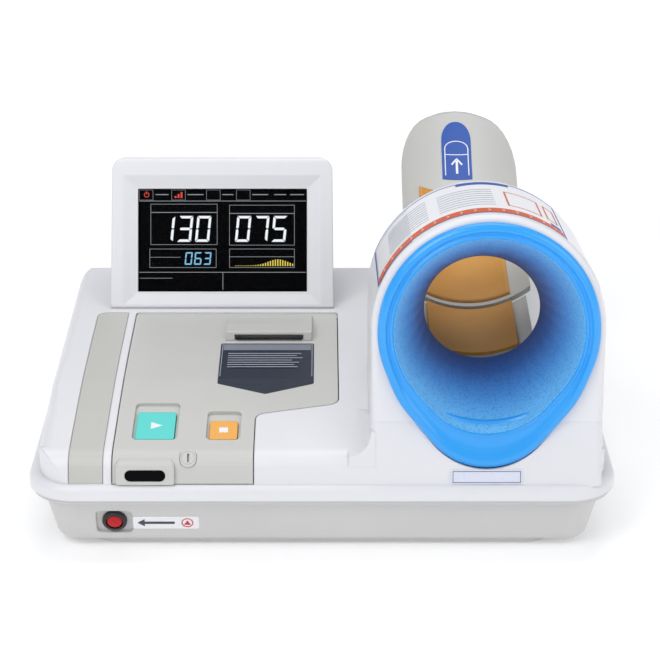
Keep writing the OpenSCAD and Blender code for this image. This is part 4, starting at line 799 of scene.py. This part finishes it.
def build_pad():
    pad_mesh(
        "forearm_cushion", "forearm_pad", PAD_HALF_W, PAD_TURN / TURN_PER_MM, HOLLOW, PAD_THICK,
        lambda u, v, h: on_rest(u, PAD_START + v * TURN_PER_MM, h),
    )


# ---------------------------------------------------------------- graphics
PRINT_H = (0.52, 0.6)
KEY_MARK_H = (-0.62, -0.4)
EDGE_T, EDGE_PHI = 1.4, 0.9
ARCH_INK, ARCH_OVER = 0.08, 0.2
LABEL_HOLLOW, REST_INK_H = HOLLOW - 0.6, (0.62, 0.72)


def middle(name):
    """Centre of a CAD node's box in millimetres."""
    box = [nodes[name].matrix_world @ Vector(c) for c in nodes[name].bound_box]
    return sum(box, Vector()) / 8 * 1000


def arch_strip(name, patches, mat, lift):
    """Thin ink on the arch, from patches of phi0, phi1 from the crown and t limits at each."""
    verts, faces = [], []
    for phi0, phi1, a0, a1, b0, b1 in patches:
        steps = max(1, math.ceil(abs(phi1 - phi0) / 2))
        faces += bar_faces(len(verts), steps)
        for i in range(steps + 1):
            f = i / steps
            phi = math.radians(phi0 + (phi1 - phi0) * f)
            for r in (ARCH_R + 0.5 + lift, ARCH_R + 0.6 + lift):
                for t in (a0 + (b0 - a0) * f, a1 + (b1 - a1) * f):
                    verts.append((r * math.sin(phi), -r * math.cos(phi), t))
    return piece(name, verts, faces, IN_TUNNEL, mat, "base", smooth=False)


def flat_patch(phi0, phi1, t0, t1):
    return (phi0, phi1, t0, t1, t0, t1)


def arch_frame(phi0, phi1, t0, t1, inset):
    """Four patches round a field of the arch; its sides stop inset short of its ends."""
    return [
        flat_patch(phi0, phi1, t0, t0 + EDGE_T),
        flat_patch(phi0, phi1, t1 - EDGE_T, t1),
        flat_patch(phi0, phi0 + EDGE_PHI, t0 + inset, t1 - inset),
        flat_patch(phi1 - EDGE_PHI, phi1, t0 + inset, t1 - inset),
    ]


def build_arch_label():
    left, right, front, back = -69.4, 40.4, 8.6, 123.0
    blue = arch_frame(left, right, front, back, EDGE_T)
    blue += [flat_patch(-13, 14, back - 9, back - 1.5), flat_patch(32, 38, 24, 34)]
    arch_strip("arch_border", blue, BLUE_INK, ARCH_INK)
    band = [flat_patch(left + 1.4, right - 1.4, 10.6, 25)]
    arch_strip("arch_band", band, ORANGE_INK, ARCH_INK)
    chevrons = []
    for k in range(15):
        phi = -62 + k * 6.8
        chevrons.append((phi, phi + 1.2, 14, 15, 17.4, 18.4))
        chevrons.append((phi, phi + 1.2, 20.8, 21.8, 17.4, 18.4))
    arch_strip("arch_chevrons", chevrons, WHITE_INK, ARCH_OVER)
    rules = [flat_patch(-56, -30, t, t + 1.6) for t in range(38, 104, 8)]
    rules += [flat_patch(-24, 4, t, t + 1.6) for t in range(38, 96, 8)]
    arch_strip("arch_rules", rules, RULE, ARCH_INK)
    boxes = arch_frame(10, 28, 40, 92, 0) + arch_frame(31, 37.5, 44, 92, 0)
    arch_strip("arch_boxes", boxes, ORANGE_INK, ARCH_INK)


def rest_ink(name, strokes, mat):
    """Ink on the forearm plate's label, from polylines of (u, turn), each with a width."""
    verts, faces = [], []
    for points, width in strokes:
        fine = []
        for (u0, a0), (u1, a1) in zip(points, points[1:]):
            steps = max(1, math.ceil(math.hypot(u1 - u0, (a1 - a0) / TURN_PER_MM) / 3))
            fine += [
                (u0 + (u1 - u0) * k / steps, a0 + (a1 - a0) * k / steps) for k in range(steps)
            ]
        fine.append(points[-1])
        faces += bar_faces(len(verts), len(fine) - 1)
        for k, (u, a) in enumerate(fine):
            u0, a0 = fine[max(k - 1, 0)]
            u1, a1 = fine[min(k + 1, len(fine) - 1)]
            du, dv = u1 - u0, (a1 - a0) / TURN_PER_MM
            length = math.hypot(du, dv) or 1.0
            side_u, side_v = -dv / length * width / 2, du / length * width / 2
            for side in (-1, 1):
                x, turn = u + side * side_u, a + side * side_v * TURN_PER_MM
                rise = LABEL_HOLLOW - math.sqrt(LABEL_HOLLOW ** 2 - x * x)
                for h in REST_INK_H:
                    verts.append(on_rest(x, turn, rise + h))
    return piece(name, verts, faces, FLAT, mat, "base", smooth=False)


def build_direction_label():
    """An arrow under a domed outline, which points the way the arm goes in."""
    half, foot, shoulder, crown = 11, 29.4, 34.2, 1.4
    dome = [(-half, foot), (-half, shoulder)]
    for step in range(12, 180, 12):
        a = math.radians(step)
        dome.append((-half * math.cos(a), shoulder + crown * math.sin(a)))
    dome += [(half, shoulder), (half, foot)]
    strokes = [(dome, 0.9), ([(-half, 33.2), (half, 33.2)], 0.9)]
    strokes += [([(0, 29.8), (0, 32.2)], 2.2), ([(-5, 31.4), (0, 32.5), (5, 31.4)], 1.6)]
    rest_ink("direction_ink", strokes, WHITE_INK)


def build_notice():
    """A header band, rules and an edge, all on the deck's rear slope."""
    rear = on_deck(NOTICE_X, NOTICE_S)
    header = [rect(-38.5, 20, 38.5, 31)]
    ends = ((12.5, 30), (8, 26), (3.5, 31), (-1, 22), (-5.5, 28), (-10, 24), (-14.5, 27))
    rules = [rect(-34, y, right, y + 1.1) for y, right in ends]
    edge = [
        rect(-39.6, 32, 39.6, 32.5), rect(-39.6, -33, -39.1, 32), rect(39.1, -33, 39.6, 32),
    ]
    marks("notice_header", header, rear, NAVY_HEAD, "cover", "navy", *PRINT_H)
    marks("notice_rules", rules, rear, RULE, "cover", "label", *PRINT_H)
    marks("notice_edge", edge, rear, RULE, "cover", "label", *PRINT_H)


def build_keys():
    start = on_deck(START_X, KEY_FRONT + START_L / 2)
    stop = on_deck(STOP_X, KEY_FRONT + STOP_L / 2)
    triangle, square = [(-4, -5), (5.6, 0), (-4, 5)], rect(-3.6, -3.6, 3.6, 3.6)
    marks("start_mark", [triangle], start, WHITE_INK, "start_key", "label", *KEY_MARK_H)
    marks("stop_mark", [square], stop, WHITE_INK, "stop_key", "label", *KEY_MARK_H)


def build_badge():
    lean = math.degrees(math.atan(BADGE_RUN / BADGE_RISE))
    plate = placer(TOWER_X, BADGE_S, BADGE_Z, 90 - lean)
    edge = border(-27.4, 1.8, 27.4, 11.3, 0.5)
    marks("badge_edge", edge, plate, DARK_INK, "base", "pale_plate", 1.04, 1.12)


def build_sticker():
    """A ring with a triangle in it, and an arrow that points to the button."""
    centre = middle("front_sticker")
    plate = on_tub(centre.x, centre.z)
    low, high = 0.47, 0.58
    ring_x, tip, neck, tail = 17.4, -23.5, -17.5, 7
    red = arc_band(ring_x, 0, 4.9, 0.9, 0, 360, 48)
    red.append([(14.6, -2.3), (20.2, -2.3), (ring_x, 2.7)])
    marks("sticker_symbol", red, plate, RED_INK, "base", "signal_red", low, high)
    arrow = [
        (tip, 0), (neck, 4), (neck, 1.3), (tail, 1.3), (tail, -1.3), (neck, -1.3), (neck, -4),
    ]
    marks("sticker_arrow", [arrow], plate, DARK_INK, "base", "navy", low, high)


# ---------------------------------------------------------------- stage
def build_world():
    """White to the camera, and a cooler, weaker light to everything else."""
    world = bpy.data.worlds.new("studio")
    bpy.context.scene.world = world
    world.use_nodes = True
    tree = world.node_tree
    tree.nodes.clear()
    out = tree.nodes.new("ShaderNodeOutputWorld")
    mix = tree.nodes.new("ShaderNodeMixShader")
    light = tree.nodes.new("ShaderNodeBackground")
    light.inputs["Color"].default_value = (0.93, 0.95, 1.0, 1)
    light.inputs["Strength"].default_value = 0.44
    white = tree.nodes.new("ShaderNodeBackground")
    white.inputs["Color"].default_value = (1, 1, 1, 1)
    white.inputs["Strength"].default_value = 1.0
    path = tree.nodes.new("ShaderNodeLightPath")
    tree.links.new(path.outputs["Is Camera Ray"], mix.inputs[0])
    tree.links.new(light.outputs["Background"], mix.inputs[1])
    tree.links.new(white.outputs["Background"], mix.inputs[2])
    tree.links.new(mix.outputs["Shader"], out.inputs["Surface"])


def floor_finish():
    """Pale floor that fades into the white background with distance, in metres."""
    n = Nodes("floor")
    diffuse = n.add("ShaderNodeBsdfDiffuse")
    tone = n.ramp(n.noise(3.0), (0.3, (0.86, 0.86, 0.86, 1)), (0.7, (0.9, 0.9, 0.9, 1)))
    n.link(tone, diffuse.inputs["Color"])
    away = n.add("ShaderNodeVectorMath")
    away.operation = "LENGTH"
    n.link(n.coord, away.inputs[0])
    fade = n.add("ShaderNodeMapRange")
    n.link(away.outputs["Value"], fade.inputs["Value"])
    fade.inputs["From Min"].default_value = 0.7
    fade.inputs["From Max"].default_value = 2.2
    fade.inputs["To Min"].default_value = 0.22
    fade.inputs["To Max"].default_value = 1.0
    glow = n.add("ShaderNodeEmission", Color=(1, 1, 1, 1))
    n.link(fade.outputs["Result"], glow.inputs["Strength"])
    add = n.add("ShaderNodeAddShader")
    n.link(diffuse.outputs["BSDF"], add.inputs[0])
    n.link(glow.outputs["Emission"], add.inputs[1])
    n.link(add.outputs["Shader"], n.out.inputs["Surface"])
    return n.mat


# name, place, point aimed at, size in metres, power in watts
LIGHTS = (
    ("key_light", (-1.1, -1.5, 1.9), (0, 0, 0.1), 1.4, 25),
    ("fill_light", (1.6, -1.2, 1.3), (0, 0, 0.1), 1.5, 11),
    ("top_light", (0.1, 0.5, 2.3), (0, 0, 0), 1.6, 18),
)
CAMERA_BACK, CAMERA_Z, CAMERA_TILT = 1465.6, 0.826, 67


def build_stage():
    build_world()
    bpy.ops.mesh.primitive_plane_add(size=60, location=(0, 0, 0))
    floor = bpy.context.object
    floor.name = "floor"
    floor.data.materials.append(floor_finish())

    for name, place, aim, size, power in LIGHTS:
        lamp = bpy.data.lights.new(name, "AREA")
        lamp.shape = "SQUARE"
        lamp.size = size
        lamp.energy = power
        obj = bpy.data.objects.new(name, lamp)
        bpy.context.collection.objects.link(obj)
        obj.location = place
        obj.rotation_euler = (Vector(aim) - Vector(place)).to_track_quat("-Z", "Y").to_euler()

    camera = bpy.data.cameras.new("camera")
    camera.lens = 111.8
    camera.sensor_width = 36
    camera.shift_x = 0.0121
    camera.clip_end = 20
    view = bpy.data.objects.new("camera", camera)
    bpy.context.collection.objects.link(view)
    view.location = (0, (-HALF_DEPTH - CAMERA_BACK) / 1000, CAMERA_Z)
    view.rotation_euler = (math.radians(CAMERA_TILT), 0, 0)
    bpy.context.scene.camera = view
    bpy.context.scene.view_settings.view_transform = "Standard"


build_display()
build_ring()
build_lining()
build_pad()
build_arch_label()
build_direction_label()
build_notice()
build_keys()
build_badge()
build_sticker()
build_stage()
